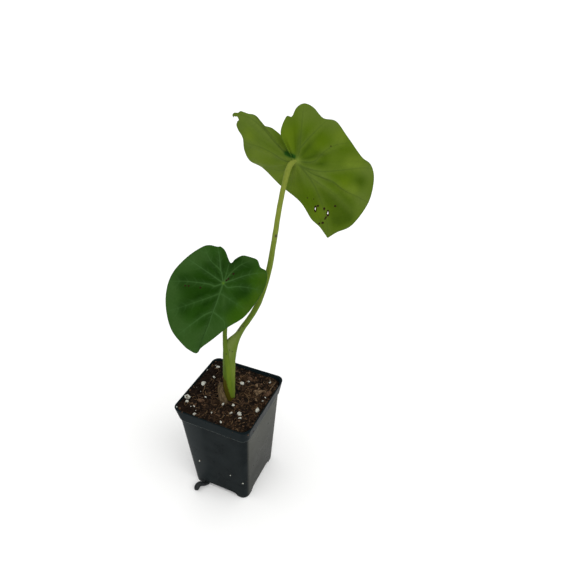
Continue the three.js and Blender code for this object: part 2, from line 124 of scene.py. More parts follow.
# Nodes of materials and of geometry trees: inputs holds constants or sockets to link from
def add(tree, kind, inputs=None, **settings):
    node = tree.nodes.new(kind)
    for name, value in settings.items():
        setattr(node, name, value)
    for key, value in (inputs or {}).items():
        if isinstance(value, bpy.types.NodeSocket):
            tree.links.new(value, node.inputs[key])
        else:
            node.inputs[key].default_value = value
    return node


def linear(hex_colour):
    """The linear colour of an sRGB hex value such as #2b3031."""
    parts = [int(hex_colour[i:i + 2], 16) / 255 for i in (1, 3, 5)]
    return tuple(c / 12.92 if c <= 0.04045 else ((c + 0.055) / 1.055) ** 2.4 for c in parts) + (1,)


def per_mm(size):
    """The scale that gives a pattern on Object coordinates features of this many millimetres."""
    return 1 / (size * MM)


def start_material(name, *patterns):
    """A new material: its tree, the place on the piece and a soft noise for each pattern, which is
    a size in mm, a detail and, where it is drawn out lengthwise, its scale along the height."""
    material = bpy.data.materials.new(name)
    material.use_nodes = True
    tree = material.node_tree
    tree.nodes.clear()
    place = add(tree, "ShaderNodeTexCoord").outputs["Object"]
    noises = []
    for size, detail, *drawn_out in patterns:
        where = place
        for height in drawn_out:
            drawn = {"Vector": place, "Scale": (1, 1, height)}
            where = add(tree, "ShaderNodeMapping", drawn).outputs[0]
        pattern = {"Vector": where, "Scale": per_mm(size), "Detail": detail}
        noises.append(add(tree, "ShaderNodeTexNoise", pattern).outputs[0])
    return material, tree, place, noises


def layer(tree, under, over, value, low=0, high=1, most=1):
    """Lays a colour over another as a value goes from low to high, up to the share most. A colour
    is a hex value or a socket."""
    under, over = (linear(c) if isinstance(c, str) else c for c in (under, over))
    share = add(tree, "ShaderNodeMapRange", {
        "Value": value, "From Min": low, "From Max": high, "To Max": most,
    }).outputs[0]
    return add(tree, "ShaderNodeMix", {0: share, 6: under, 7: over}, data_type="RGBA").outputs[2]


def layers(tree, colour, rows):
    """Lays rows of colour, value, low, high and most over a colour, one after another."""
    for over, *how in rows:
        colour = layer(tree, colour, over, *how)
    return colour


def finish_material(material, tree, shader, height=None, strength=1, depth=0):
    """Ends a material with the shader's inputs and, where height is given, a relief drawn by it
    that is depth mm deep."""
    if height is not None:
        relief = {"Height": height, "Strength": strength, "Distance": depth * MM}
        shader["Normal"] = add(tree, "ShaderNodeBump", relief).outputs[0]
    surface = add(tree, "ShaderNodeBsdfPrincipled", shader)
    add(tree, "ShaderNodeOutputMaterial", {"Surface": surface.outputs[0]})
    return material


# Meshes
def new_mesh(name, points, faces):
    mesh = bpy.data.meshes.new(name)
    mesh.from_pydata(in_frame(points).tolist(), [], faces)
    mesh.shade_smooth()
    piece = bpy.data.objects.new(name, mesh)
    bpy.context.scene.collection.objects.link(piece)
    return piece


def paint(piece, name, values):
    """Stores one number for each point, which materials read by name."""
    attribute = piece.data.attributes.new(name, "FLOAT", "POINT")
    attribute.data.foreach_set("value", np.asarray(values, np.float32))


def dress(piece, slot, *materials):
    """Gives a finished piece its materials and its place on the plant. The slot is not used."""
    piece.data.materials.clear()
    for material in materials:
        piece.data.materials.append(material)
    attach(piece, "root")
    return piece


def settled(piece):
    """The piece as a plain mesh, with its modifiers' result in it and no modifier left."""
    bpy.context.view_layer.update()
    evaluated = piece.evaluated_get(bpy.context.evaluated_depsgraph_get())
    piece.data = bpy.data.meshes.new_from_object(evaluated)
    piece.modifiers.clear()
    return piece


def catmull(points, share, closed=False):
    """Points on the smooth curve through the given ones, at shares from 0 to 1 of its steps."""
    points = np.asarray(points, float)
    count = len(points)
    if closed:
        place = (share % 1) * count
        step = np.floor(place).astype(int)
        before, start, end, after = (points[(step + k) % count] for k in (-1, 0, 1, 2))
    else:
        ends = np.vstack([2 * points[0] - points[1], points, 2 * points[-1] - points[-2]])
        place = share * (count - 1)
        step = np.minimum(np.floor(place).astype(int), count - 2)
        before, start, end, after = (ends[step + k] for k in (0, 1, 2, 3))
    w = (place - step)[:, None]
    leave = (end - before) / 2
    arrive = (after - start) / 2
    square = 3 * (end - start) - 2 * leave - arrive
    cube = 2 * (start - end) + leave + arrive
    return start + leave * w + square * w**2 + cube * w**3


def ring_faces(rings, count, first=0):
    """Quads between rings of equally many points."""
    faces = []
    for k in range(rings - 1):
        for i in range(count):
            a = first + k * count + i
            b = first + k * count + (i + 1) % count
            faces.append((a, b, b + count, a + count))
    return faces


def loft(rings):
    """Points and faces of the skin over rings, with a fan over each end."""
    count = len(rings[0])
    points = [p for ring in rings for p in ring]
    faces = ring_faces(len(rings), count)
    for first, flip in ((0, True), ((len(rings) - 1) * count, False)):
        centre = len(points)
        points.append(np.mean(points[first:first + count], axis=0))
        for i in range(count):
            a, b = first + i, first + (i + 1) % count
            faces.append((centre, b, a) if flip else (centre, a, b))
    return points, faces


def zipped_rings(counts):
    """Triangles from a middle point 0 out through rings of ever more points."""
    faces = [(0, 1 + i, 1 + (i + 1) % counts[0]) for i in range(counts[0])]
    inner_first = 1
    for inner, outer in zip(counts, counts[1:]):
        outer_first = inner_first + inner
        i = j = 0
        while i < inner or j < outer:
            if j < outer and (i == inner or (j + 1) * inner <= (i + 1) * outer):
                faces.append((inner_first + i % inner, outer_first + j, outer_first + (j + 1) % outer))
                j += 1
            else:
                faces.append((inner_first + i, outer_first + j % outer, inner_first + (i + 1) % inner))
                i += 1
        inner_first = outer_first
    return faces


EDGE_STEPS = 4000
FEWEST_IN_RING = 8


def disc(edge, spacing):
    """A closed edge filled in from the origin: for each point its place on the edge's line, its
    share of the way out and, in the last ring, the edge itself. Also the triangles."""
    share = np.linspace(0, 1, EDGE_STEPS + 1)
    line = edge(share)
    along = travelled(line)
    reach = np.mean(np.linalg.norm(line[:, :2], axis=1))
    rings = int(reach / spacing)
    shares, outs, counts = [np.zeros(1)], [np.zeros(1)], []
    for k in range(1, rings + 1):
        count = max(FEWEST_IN_RING, int(along[-1] * k / rings / spacing))
        counts.append(count)
        shares.append(np.interp(np.arange(count) / count * along[-1], along, share))
        outs.append(np.full(count, k / rings))
    return np.concatenate(shares), np.concatenate(outs), zipped_rings(counts), counts


def point_normals(points, faces):
    points = np.asarray(points)
    faces = np.asarray(faces)
    a, b, c = (points[faces[:, k]] for k in range(3))
    across = np.cross(b - a, c - a)
    total = np.zeros_like(points)
    for k in range(3):
        np.add.at(total, faces[:, k], across)
    return unit(total)


# Nursery pot: the solid's sizes
POT_WIDTH = 63.5
POT_HEIGHT = 89
POT_FOOT_WIDTH = 49
POT_CORNER = 5.6
POT_WALL = 1
BAND_HEIGHT = 9
BAND_STEP = 2.4
BAND_DRAFT = 3.9
LEDGE = 0.5
LIP = 0.4
ARCH_HEIGHT = 3.8
ARCH_HALF_WIDTH = 14.5
ARCH_SLOPE = 4.5
FLOOR = 1.2
DRAIN_RADIUS = 3.5
DRAIN_OFFSET = 15
GAP = 0.3
BAND_BOTTOM = POT_HEIGHT - BAND_HEIGHT
BODY_TOP_WIDTH = POT_WIDTH - 2 * BAND_STEP
FLOOR_TOP = ARCH_HEIGHT + FLOOR
# What the real pot has beyond the solid: its band reaches lower, its lip is wider across the
# corners, and its rim and foot stand a little out of true
BAND_FOOT = 77
LIP_CORNER = 7.5
RIM_LEAN = 0.9
RIM_SAG = 1.1
FOOT_LEAN = 1.3


def body_width(z):
    return blend(POT_FOOT_WIDTH, BODY_TOP_WIDTH, z / BAND_BOTTOM)


def band_width(z, foot=BAND_BOTTOM):
    return POT_WIDTH - BAND_DRAFT * (POT_HEIGHT - z) / (POT_HEIGHT - foot)


def square_ring(width, corner, z, per_corner=14, per_side=10):
    """A square with round corners, anticlockwise, with evenly spaced points along its sides."""
    reach = width / 2 - corner
    ring = []
    for side in range(4):
        start = side * math.pi / 2
        diagonal = start + math.pi / 4
        middle = reach * math.sqrt(2) * np.array([math.cos(diagonal), math.sin(diagonal)])
        for i in range(per_corner + 1):
            angle = start + i / per_corner * math.pi / 2
            ring.append((middle[0] + corner * math.cos(angle), middle[1] + corner * math.sin(angle), z))
        last = np.array(ring[-1])
        along = np.array([-math.sin(start + math.pi / 2), math.cos(start + math.pi / 2), 0])
        for i in range(1, per_side + 1):
            ring.append(tuple(last + along * 2 * reach * i / (per_side + 1)))
    return ring


def out_of_true(points):
    """The pot is a little out of true: its left rim, most of all the far corner, and its right
    foot stand inwards."""
    points = np.array(points, float)
    rise = np.clip(points[:, 2] / POT_HEIGHT, 0, 1)
    right = np.clip(0.5 + points[:, 0] / POT_WIDTH, 0, 1)
    far = np.clip(0.5 + points[:, 1] / POT_WIDTH, 0, 1)
    corner = RIM_SAG * rise * (1 - right) * far
    points[:, 0] += RIM_LEAN * rise * (1 - right) - FOOT_LEAN * (1 - rise) * right + corner
    points[:, 1] -= corner
    return points


def pot_shell():
    """The pot as one skin of rings: up its outside, over the lip, down its inside to the floor."""
    inside = 2 * POT_WALL
    ledge = BAND_BOTTOM - LEDGE + POT_WALL
    inner_corner = POT_CORNER - POT_WALL
    sizes = [
        (POT_FOOT_WIDTH - 1, POT_CORNER - 0.5, 0),
        (POT_FOOT_WIDTH - 0.3, POT_CORNER, 0.15),
        (POT_FOOT_WIDTH, POT_CORNER, 0.5),
    ]
    for z in np.linspace(4, BAND_FOOT - LEDGE, 12):
        sizes.append((body_width(z), POT_CORNER, z))
    for draw_in, z in (
        (0.7, BAND_FOOT - 0.25), (0.15, BAND_FOOT + 0.05), (0, BAND_FOOT + 0.4), (0, BAND_FOOT + 1),
        (0, POT_HEIGHT - LIP - 0.6), (0, POT_HEIGHT - LIP),
    ):
        sizes.append((band_width(max(z, BAND_FOOT), BAND_FOOT) - draw_in, POT_CORNER, z))
    sizes += [
        (POT_WIDTH - 0.25, POT_CORNER, POT_HEIGHT - 0.1),
        (POT_WIDTH - 0.7, POT_CORNER, POT_HEIGHT),
        (POT_WIDTH - inside + 0.5, LIP_CORNER, POT_HEIGHT),
        (POT_WIDTH - inside, LIP_CORNER, POT_HEIGHT - 0.3),
        (band_width(ledge + LEDGE) - inside, inner_corner, ledge + LEDGE),
        (body_width(ledge) - inside, inner_corner, ledge),
        (body_width(FLOOR_TOP) - inside, inner_corner, FLOOR_TOP),
    ]
    points, faces = loft([square_ring(*size) for size in sizes])
    return new_mesh("nursery_pot_shell", out_of_true(points), faces)


def arch_profile():
    """Outline of the arch under one side, from its left foot over the top to its right foot."""
    end = ARCH_HALF_WIDTH + ARCH_SLOPE / 2
    start = ARCH_HALF_WIDTH - ARCH_SLOPE / 2
    share = np.linspace(0, 1, 13)[:, None]
    corners = np.array([
        [end, 0], [ARCH_HALF_WIDTH, 0], [ARCH_HALF_WIDTH, ARCH_HEIGHT], [start, ARCH_HEIGHT],
    ])
    weights = np.hstack([
        (1 - share)**3, 3 * share * (1 - share)**2, 3 * share**2 * (1 - share), share**3,
    ])
    right = weights @ corners
    left = right[::-1] * [-1, 1]
    return np.vstack([[end, -1], right, left, [-end, -1]])


def cut(piece, points, faces):
    """Cuts a closed shape out of a piece."""
    cutter = new_mesh("cutter", points, faces)
    modifier = piece.modifiers.new("cut", "BOOLEAN")
    modifier.operation = "DIFFERENCE"
    modifier.solver = "EXACT"
    modifier.object = cutter
    settled(piece)
    bpy.data.objects.remove(cutter)


def prism(outline, low, high, turn):
    """An outline of (sideways, up) points drawn out from low to high, sideways turned about +Z."""
    sideways = np.array([math.cos(turn), math.sin(turn), 0])
    along = np.array([-math.sin(turn), math.cos(turn), 0])
    ends = []
    for reach in (high, low):
        ends.append([sideways * x + along * reach + np.array([0, 0, z]) for x, z in outline])
    return loft(ends)


def upright(x, y, radius, bottom, top, sides=32):
    circle = [(x + radius * math.cos(a), y + radius * math.sin(a)) for a in round_turn(sides)]
    return loft([[(*place, z) for place in circle] for z in (bottom, top)])


def make_pot(plastic):
    pot = pot_shell()
    for turn in (0, math.pi / 2):
        cut(pot, *prism(arch_profile(), -POT_WIDTH / 2, POT_WIDTH / 2, turn))
    low, high = ARCH_HEIGHT - FLOOR, FLOOR_TOP + FLOOR
    for x, y in ((0, 0), (1, 0), (-1, 0), (0, 1), (0, -1)):
        cut(pot, *upright(x * DRAIN_OFFSET, y * DRAIN_OFFSET, DRAIN_RADIUS, low, high))
    pot.data.shade_smooth()
    pot.data.set_sharp_from_angle(angle=math.radians(32))
    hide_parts("nursery_pot")
    return dress(pot, "pot_plastic", plastic)


# Stalks: routes of x, y, z, radius
UPPER_JOINT = (35.5, 41.5, 264.5)
UPPER_STALK = [
    (1.3, -0.8, 80.3, 3.2),
    (2.3, -0.3, 101, 3.15),
    (3.2, 0.2, 117, 3.1),
    (4.1, 0.7, 127, 3.1),
    (7, 2.4, 141, 2.7),
    (11.4, 5, 151.2, 2.1),
    (17, 8, 161.4, 1.95),
    (21.5, 10.6, 171.4, 1.9),
    (24.5, 12.7, 181.5, 1.9),
    (27.6, 17.1, 198.4, 1.9),
    (28.9, 23.6, 219.3, 1.7),
    (29.8, 29.9, 239.2, 1.6),
    (30.6, 33.1, 248.5, 1.62),
    (31.5, 35.8, 256.3, 1.7),
    (32.2, 37.9, 260.9, 1.7),
    (33.2, 39.5, 263, 1.65),
    (34.6, 40.8, 264.1, 1.35),
    (35.7, 41.7, 264.7, 0.7),
]
LOWER_JOINT = (6, -5.5, 195)
LOWER_STALK = [
    (0.3, -2.2, 80.3, 4),
    (1, -1.8, 102, 3.8),
    (1.4, -1.5, 118, 3.45),
    (1.3, -1.2, 131, 2.6),
    (0.8, -1, 140, 1.75),
    (0.9, -0.7, 147.5, 1.55),
    (1.8, -0.5, 158, 1.5),
    (3.2, -1.3, 173, 1.4),
    (4.7, -3.4, 184.7, 1.45),
    (5.7, -4.9, 192, 1.6),
    (6, -5.5, 195, 1.9),
]


# The young stalk's sheath: where it stands out as a wing and where its pale side shows, from
# bottom to top and round the stalk in degrees
WING = {"bottom": 118, "full": 138.5, "fading": 138.5, "top": 147.5, "heading": -158, "spread": 42}
WING_REACH = 3.1
PALE = {"bottom": 114, "full": 132, "fading": 147, "top": 158, "heading": -125, "spread": 72}
RIBS = 9
RIB_HEIGHT = 0.05
RIB_TWIST = 0.02
UNEVEN_SIZE = 6
UNEVEN_DEPTH = 0.12


def sheath_part(part, z, heading):
    """How far a part of the sheath is there at a height and in a direction, 0 to 1."""
    off = (heading - part["heading"] + 180) % 360 - 180
    rise = smooth(part["bottom"], part["full"], z) * (1 - smooth(part["fading"], part["top"], z))
    return rise * nearby(off, part["spread"])


def tube_rings(route, steps, sides):
    """Centres, outward directions and radii of rings square to a route."""
    line = catmull(route, np.linspace(0, 1, steps + 1))
    centres = line[:, :3]
    ahead = unit(np.gradient(centres, axis=0))
    side = np.array([1.0, 0, 0])
    outs = []
    turn = round_turn(sides)
    for way in ahead:
        side = unit(side - way * (side @ way))
        other = np.cross(way, side)
        outs.append(np.outer(np.cos(turn), side) + np.outer(np.sin(turn), other))
    return centres, np.array(outs), line[:, 3]


# The brown stain at the foot of the stem: how far it reaches from the left, by height
STAIN_HEIGHTS = (84, 86.5, 88.5, 91.5, 95.6, 99.7, 106.6, 109)
STAIN_REACHES = (4.5, 3, 1.3, 0.4, -0.3, -1.1, -1.7, -4)
STAIN_JAGS = (0.8, 0.3)
STEM_AXIS = (1.6, -1)
STEM_RIGHT = direction(CAMERA_AZIMUTH + 90, 0)[:2]


def sideways(points):
    """How far in mm each point lies to the right of the stem's axis."""
    return (points[:, :2] - STEM_AXIS) @ np.array(STEM_RIGHT)


def stained(points):
    """Distance in mm that each point lies inside the stain."""
    large, small = STAIN_JAGS
    jagged = large * rough(points * [1, 1, 0.4], 0.7, 2) + small * rough(points, 2, 4)
    reach = np.interp(points[:, 2], STAIN_HEIGHTS, STAIN_REACHES, right=-9)
    return reach - sideways(points) + jagged


# Small bruises on the stalks: x, y, z, radius
BRUISES = [
    (10.5, 3.5, 152.8, 0.8), (10, 3, 151.2, 0.9), (13, 4.2, 154.8, 0.7), (30.2, 22.8, 220.5, 1.1),
    (6.3, -1.3, 133.7, 0.6), (4.3, -1.8, 134.7, 0.55), (2.4, -3.5, 131.6, 0.6),
]


def bruised(points):
    """How far each point lies in a bruise, 0 to 1."""
    found = np.zeros(len(points))
    for *place, radius in BRUISES:
        found = np.maximum(found, nearby(np.linalg.norm(points - place, axis=1), radius))
    return found


def stalk(route, steps, sides, winged=False, ribs=RIB_HEIGHT):
    """A stalk with fine lengthwise ribs and, where it is winged, the sheath's wing. Also how far
    each point shows the sheath's pale side."""
    centres, outs, radii = tube_rings(route, steps, sides)
    rings = []
    pale = []
    turn = round_turn(sides)
    for centre, out, radius in zip(centres, outs, radii):
        wing, side = (winged * sheath_part(part, centre[2], headings(out)) for part in (WING, PALE))
        reach = radius + ribs * np.cos(turn * RIBS + centre[2] * RIB_TWIST) + WING_REACH * wing
        rings.append(centre + out * reach[:, None])
        pale.extend(side)
    points, faces = loft(rings)
    points = np.array(points)
    points += UNEVEN_DEPTH * rough(points, UNEVEN_SIZE)[:, None] * np.array([1, 1, 0])
    return points, faces, np.concatenate([pale, [0, 0]])


# Leaf blades, each in its own frame at the joint: (across, up, towards) points of the edge and the
# directions in degrees of the lines between its puffed fields. The side that the photo shows is
# the upper one where faces is 1, and the underside where it is -1
LEAF_FACING = 24
BEND = 1.6
PUFF = 1.4
FINE_THICKNESS = 0.45
BLADE_SPACING = 0.44
FIELD_WIDTH = 3
FIELD_RISE = 0.16
WAVE_SIZE = 13
WAVE_RISE = 0.25
VEIN_SINK = 0.08
RIB_RISE = 0.22
SIDE_VEIN_RISE = 0.03
UPPER_BLADE = {
    "joint": UPPER_JOINT,
    "lean": 0,
    "faces": -1,
    "spot": 2.6,
    "quilt": 1,
    "edge": [
        (-2.5, 2.5, -1), (-6.8, 10.3, -7.6), (-13.9, 15, -14), (-19.2, 15.9, -16.8),
        (-21.2, 16.8, -19.7), (-22.9, 17.85, -22.3), (-24.8, 19, -25.3), (-27, 19.3, -28.2),
        (-30.1, 19.1, -29.9), (-33.1, 19.4, -32.2), (-35.4, 19.4, -34.1), (-37, 18.3, -34.4),
        (-39.5, 17.8, -36), (-40.7, 16.8, -36), (-40.4, 15.4, -34.8), (-37.6, 14.1, -31),
        (-38.1, 11.7, -30.5), (-36.8, 8.9, -28.3), (-33.9, 5.3, -24.4), (-33.4, -3.1, -26),
        (-30, -10.3, -25.4), (-21.4, -13.2, -20.2), (-10, -21.5, -12), (3, -29.5, -4),
        (10, -41, -3), (16, -48, -4), (20.6, -55.6, -5.8), (22, -57.4, -6), (23.8, -56, -5.8),
        (28, -52.5, -5), (37.5, -46.5, -4), (47.5, -32.5, -8), (50, -16.5, -9), (47.5, -7, -11),
        (41, -0.5, -8), (31, 13, -7), (24, 21.5, -9), (16, 24.5, -6), (10, 30.5, -7),
        (4.5, 32.5, -8), (0, 30.5, -6), (-2.7, 25.7, -5), (-6, 25.5, -5), (-9.3, 17, -2),
        (-5.5, 8, 0),
    ],
    "sectors": [-154, -125, -98, -69, -45, -33, -10, 14, 50, 82, 112, 150, 174],
}
LOWER_BLADE = {
    "joint": LOWER_JOINT,
    "lean": 35,
    "faces": 1,
    "spot": 0.8,
    "quilt": 0.5,
    "edge": [
        (4.5, 13, -1), (1, 20.5, -3), (-2, 23.5, -5), (-4.5, 23.5, -4), (-9.5, 24.5, -4),
        (-14.5, 23, -3), (-23.5, 16.5, -1), (-32, 7, 0), (-36, -4, 1), (-36.5, -17, 0),
        (-33.5, -30, -2), (-26.5, -39.5, -3), (-22, -43.5, -4), (-18, -45.5, -6), (-15, -42, -4),
        (-7, -36, -2), (2.5, -28.5, 0), (13.6, -21.3, 4), (23, -9.5, 8), (27.5, -0.5, 10),
        (28, 7, 10), (24, 10, 7), (22, 14.5, 6), (17.5, 16.5, 4), (12.5, 17.5, 2), (8, 15.5, 0),
    ],
    "sectors": [-151, -130, -112, -88, -49, -10, 17, 40, 100, 120, 145, 177],
}

# Main veins, [across, up] from the joint out, after each leaf's own venation
UPPER_VEINS = {
    "midrib": [(0, 0), (7.7, -10), (13.4, -20.6), (17.7, -32.6), (20.9, -44.4), (22, -56)],
    "right_low": [(7.7, -10), (16, -16.3), (24.9, -23.9), (31.9, -31.6), (37.7, -37.3), (41, -42)],
    "right_middle": [
        (0, 0), (9.3, -8.1), (17.8, -12), (24, -15.3), (31.3, -21.8), (39.3, -26.5), (48, -32),
    ],
    "right_high": [(1.2, -2.7), (14.1, -7.2), (25.5, -7.8), (40.2, -7.9), (49, -9.5)],
    "shoulder": [(0, 0), (10.9, -0.8), (16.4, 4.5), (24.7, 8.5), (34, 9)],
    "crown_right": [(2.3, 7.7), (8.2, 13.9), (14.4, 20), (19, 23.5)],
    "crown": [(0, 0), (2.1, 6.9), (2.7, 15.8), (4.4, 32)],
    "hook": [(-1, 0), (-7.1, 4.3), (-13.9, 9.3), (-20.9, 14.2), (-29.7, 17.6), (-38.5, 17.6)],
    "left": [(0, 0), (-6.1, -0.8), (-14, 2.2), (-22.5, 3.8), (-33, 3)],
    "left_low": [(0, 0), (-8.1, -8.8), (-18, -11.3), (-28.7, -9.2)],
    "below": [(0, 0), (-1, -13.9), (-1, -25)],
}
LOWER_VEINS = {
    "midrib": [
        (0, 0), (-2.2, -6.2), (-4.3, -12.8), (-6.9, -19), (-9.3, -26.9), (-12.6, -34.2), (-18, -45.5),
    ],
    "left_high": [(0, 0), (-9.1, 6.4), (-18.1, 12.4), (-24, 16)],
    "left_crown": [(0, 0), (-1.8, 7.9), (-8.2, 14.4), (-12, 22)],
    "crown": [(-1.8, 7.9), (-2.7, 16.1), (-4, 23)],
    "left": [(0, 0), (-5.4, -1.9), (-8.9, -0.7), (-18.2, 0.6), (-26.3, 1.2), (-35, 1)],
    "left_low": [(-2, -6.5), (-9.7, -9.4), (-17.1, -12), (-28, -15.7), (-36, -18)],
    "left_foot": [(-6.3, -17.8), (-11.9, -20.2), (-17.2, -23.9), (-25.9, -30.5), (-31, -35)],
    "right_high": [(0, 0), (4.8, 1.6), (14, 4.7), (23.2, 6.3), (28, 6)],
    "right": [(0, 0), (2.9, -2.7), (8.4, -2.2), (14.2, -2.5), (24.3, -4.2)],
    "right_low": [(-1.1, -6.9), (3, -9.4), (6.7, -11.9), (14.5, -16.4)],
    "right_foot": [(-6.3, -18.5), (-2.3, -21.6), (0.5, -24.6), (1, -29)],
    "ear": [(0, 0), (5, 6.5), (10.7, 11.2), (17, 14)],
    "notch": [(0, 0), (1.8, 5.2), (3.8, 13)],
}
VEIN_STRENGTH = {"right_middle": 1.3, "midrib": 0.9, "below": 0.45, "left_low": 0.7, "right_low": 0.6}
VEIN_ROOT_WIDTH = 0.45
VEIN_TIP_WIDTH = 0.28
HAZE_ROOT_WIDTH = 1.5
HAZE_TIP_WIDTH = 3.4
VEIN_WIDENING = {"midrib": 1.25}
SIDE_VEIN_WIDTH = 0.45
# Shares of a vein's strength that are left at its tip
VEIN_TIP = 0.45
HAZE_TIP = 0.5
SIDE_VEIN_TIP = 0.3
# Side veins leave a main vein every few mm, from its first mm to some mm before its end
BRANCH_FIRST = 6
BRANCH_LAST = 3
BRANCH_STEP = 5.5
BRANCH_BENDS = (56, 44, 32)
BRANCH_SHORTEST = 3
BRANCH_GROWTH = 0.2
BRANCH_LONGEST = 9
BITE_RIM = 0.4

# Patches of other tones, each a list of [across, up] with its radius: grey-green, deep, fresh,
# darker patches of painted shade, lighter patches, and a painted shadow in the fold by the joint
UPPER_PATCHES = {
    "grey": (7.5, [
        (-25.7, 14.8), (-21.3, 11), (-30, 14), (8, 28), (23.8, 21.1), (44.6, -10.9), (43.1, -30.1),
        (7.1, -4.6), (-7.3, -1.2), (13.7, -12),
    ]),
    "deep": (7, [
        (2.1, 18.2), (15.5, 12.4), (29.9, 7.5), (35.6, -12.5), (2.7, -21), (10.6, -25), (24.4, -14.1),
        (21, -36), (27, -44), (15, -30),
    ]),
    "fresh": (5.5, [
        (-4.9, 14.9), (-3.7, 8.5), (-0.5, -19.5), (16.1, -38.1), (-21.5, -4.2), (-28, -8),
        (31.1, -18), (-14.4, -8.6), (12, 4),
    ]),
    "shade": (5, [
        (28.9, -27.2), (33.2, -33.6), (27.7, -37.2), (27.5, -42.8), (34.9, -40.6), (16, -24.3),
        (4.1, 13), (4.2, 7.3), (4.8, 1.6), (11, 2.1), (16, -0.4), (22.9, -27.4), (40.5, -17),
    ]),
    "light": (4.5, [
        (33.6, -3.5), (40.2, -4.4), (26.5, 12.9), (-24.2, -2.2), (-17.6, -0.8), (-11.2, -11.1),
        (-3, -8.5), (36, -22), (-6.3, -5), (-29.6, 8.1), (-1.3, -2.2), (-23.5, -7), (-13.5, -16),
    ]),
    # Painted shadow in the fold between the lobes by the joint
    "pocket": (1.3, [(-6.2, 4), (-4.9, 3.7), (-3.6, 3.4), (-2.3, 3), (-1.2, 2.6)]),
}
LOWER_PATCHES = {
    "grey": (7.5, [
        (-24.4, 10), (-15.2, 18), (-32, -14), (-29.2, -27), (-21.8, -38.9), (-14, -35), (-3.6, -28),
        (-34, -3), (-2, -11), (14, 14),
    ]),
    "deep": (6.5, [
        (-11.9, -4.4), (-18, 3.9), (5.6, 7.2), (10.8, 9), (-8.4, 5), (-6, -14), (15, -6.1),
        (5.7, -15), (-21.3, -10.7), (-29, -1), (-21.5, 11.6), (-11.7, 8.3), (-5.4, 13.4),
    ]),
    "fresh": (5.5, [(22.4, -8.1), (21, 3.2), (14.1, -15), (9.7, -20), (25.2, 0), (4.4, -24), (18, -12)]),
    "shade": (5, [
        (-12.9, -10.1), (-7.5, -9.7), (-12.8, -3.7), (-7.2, -3.7), (-2.7, 1.2), (8.8, 13.4),
        (-24.8, 1.5), (-24.9, -15.9), (3.6, 8.4), (-2.9, 7.6), (-13.8, -21.7), (-13.7, 1.9),
        (-7.9, 7.8), (15.3, 9), (13.6, -4.9),
    ]),
    "light": (3.2, [(24.6, -2), (22.4, -7), (19, -12), (15, -16.6), (26, 4.5)]),
    "pocket": (1, []),
}


def blade_frame(lean):
    """A blade's own directions: across, up and towards the side from which it is seen."""
    facing = math.radians(LEAF_FACING)
    across = np.array([math.cos(facing), math.sin(facing), 0])
    towards = np.array(direction(LEAF_FACING, lean))
    return across, np.cross(towards, across), towards


def between(sectors, angles):
    """How far each direction lies between its two neighbouring sector lines, as a hump of 0 to 1."""
    lines = np.array([sectors[-1] - 360] + sectors + [sectors[0] + 360], float)
    after = np.searchsorted(lines, angles, side="right")
    start, end = lines[after - 1], lines[np.minimum(after, len(lines) - 1)]
    return np.sin(math.pi * (angles - start) / (end - start))


def distance_to(line, places):
    """Distance from each place to a line of points, and the share of the line's length there."""
    line = np.asarray(line, float)
    lengths = np.linalg.norm(np.diff(line, axis=0), axis=1)
    done = np.concatenate([[0], np.cumsum(lengths)]) / lengths.sum()
    best = np.full(len(places), 1e9)
    share = np.zeros(len(places))
    for k, (a, b) in enumerate(zip(line, line[1:])):
        t = np.clip(((places - a) @ (b - a)) / ((b - a) @ (b - a)), 0, 1)
        gap = np.linalg.norm(places - a - t[:, None] * (b - a), axis=1)
        closer = gap < best
        best = np.where(closer, gap, best)
        share = np.where(closer, blend(done[k], done[k + 1], t), share)
    return best, share


def curved(line, steps=24):
    return catmull(line, np.linspace(0, 1, steps + 1))


def side_veins(veins):
    """Branches that leave the main veins on both sides and bend outwards, by rule."""
    branches = []
    for line in veins.values():
        line = curved(line, 60)
        along = travelled(line)
        places = np.arange(BRANCH_FIRST, along[-1] - BRANCH_LAST, BRANCH_STEP)
        for number, place in enumerate(places):
            k = int(np.searchsorted(along, place))
            ahead = unit(line[min(k + 1, 60)] - line[k - 1])
            for side in (-1, 1):
                reach = min(BRANCH_LONGEST, BRANCH_SHORTEST + BRANCH_GROWTH * place)
                reach *= 1 if (number + side) % 2 else 0.8
                branch = [line[k]]
                for bend in BRANCH_BENDS:
                    turn = math.radians(bend * side)
                    c, s = math.cos(turn), math.sin(turn)
                    step = np.array([c * ahead[0] - s * ahead[1], s * ahead[0] + c * ahead[1]])
                    branch.append(branch[-1] + step * reach / len(BRANCH_BENDS))
                branches.append(branch)
    return branches


def vein_fields(flat, veins):
    """For each place on a blade: how far it is inside a main vein, in the soft band round one and
    inside a side vein, and the distance in mm to the nearest main vein."""
    main, haze, side = np.zeros((3, len(flat)))
    nearest = np.full(len(flat), 1e9)
    for name, line in veins.items():
        gap, share = distance_to(curved(line), flat)
        width = blend(VEIN_ROOT_WIDTH, VEIN_TIP_WIDTH, share) * VEIN_WIDENING.get(name, 1)
        strength = VEIN_STRENGTH.get(name, 1) * blend(1, VEIN_TIP, share)
        main = np.maximum(main, nearby(gap, width) * strength)
        soft = blend(HAZE_ROOT_WIDTH, HAZE_TIP_WIDTH, share)
        haze = np.maximum(haze, nearby(gap, soft) * blend(1, HAZE_TIP, share))
        nearest = np.minimum(nearest, gap)
    for branch in side_veins(veins):
        gap, share = distance_to(branch, flat)
        side = np.maximum(side, nearby(gap, SIDE_VEIN_WIDTH) * blend(1, SIDE_VEIN_TIP, share))
    return main, haze, side, nearest


def patch_field(flat, radius, places):
    """How far each place lies in soft round patches, 0 to 1."""
    total = np.zeros(len(flat))
    for place in places:
        total += nearby(np.linalg.norm(flat - place, axis=1), radius)
    return np.clip(total, 0, 1)


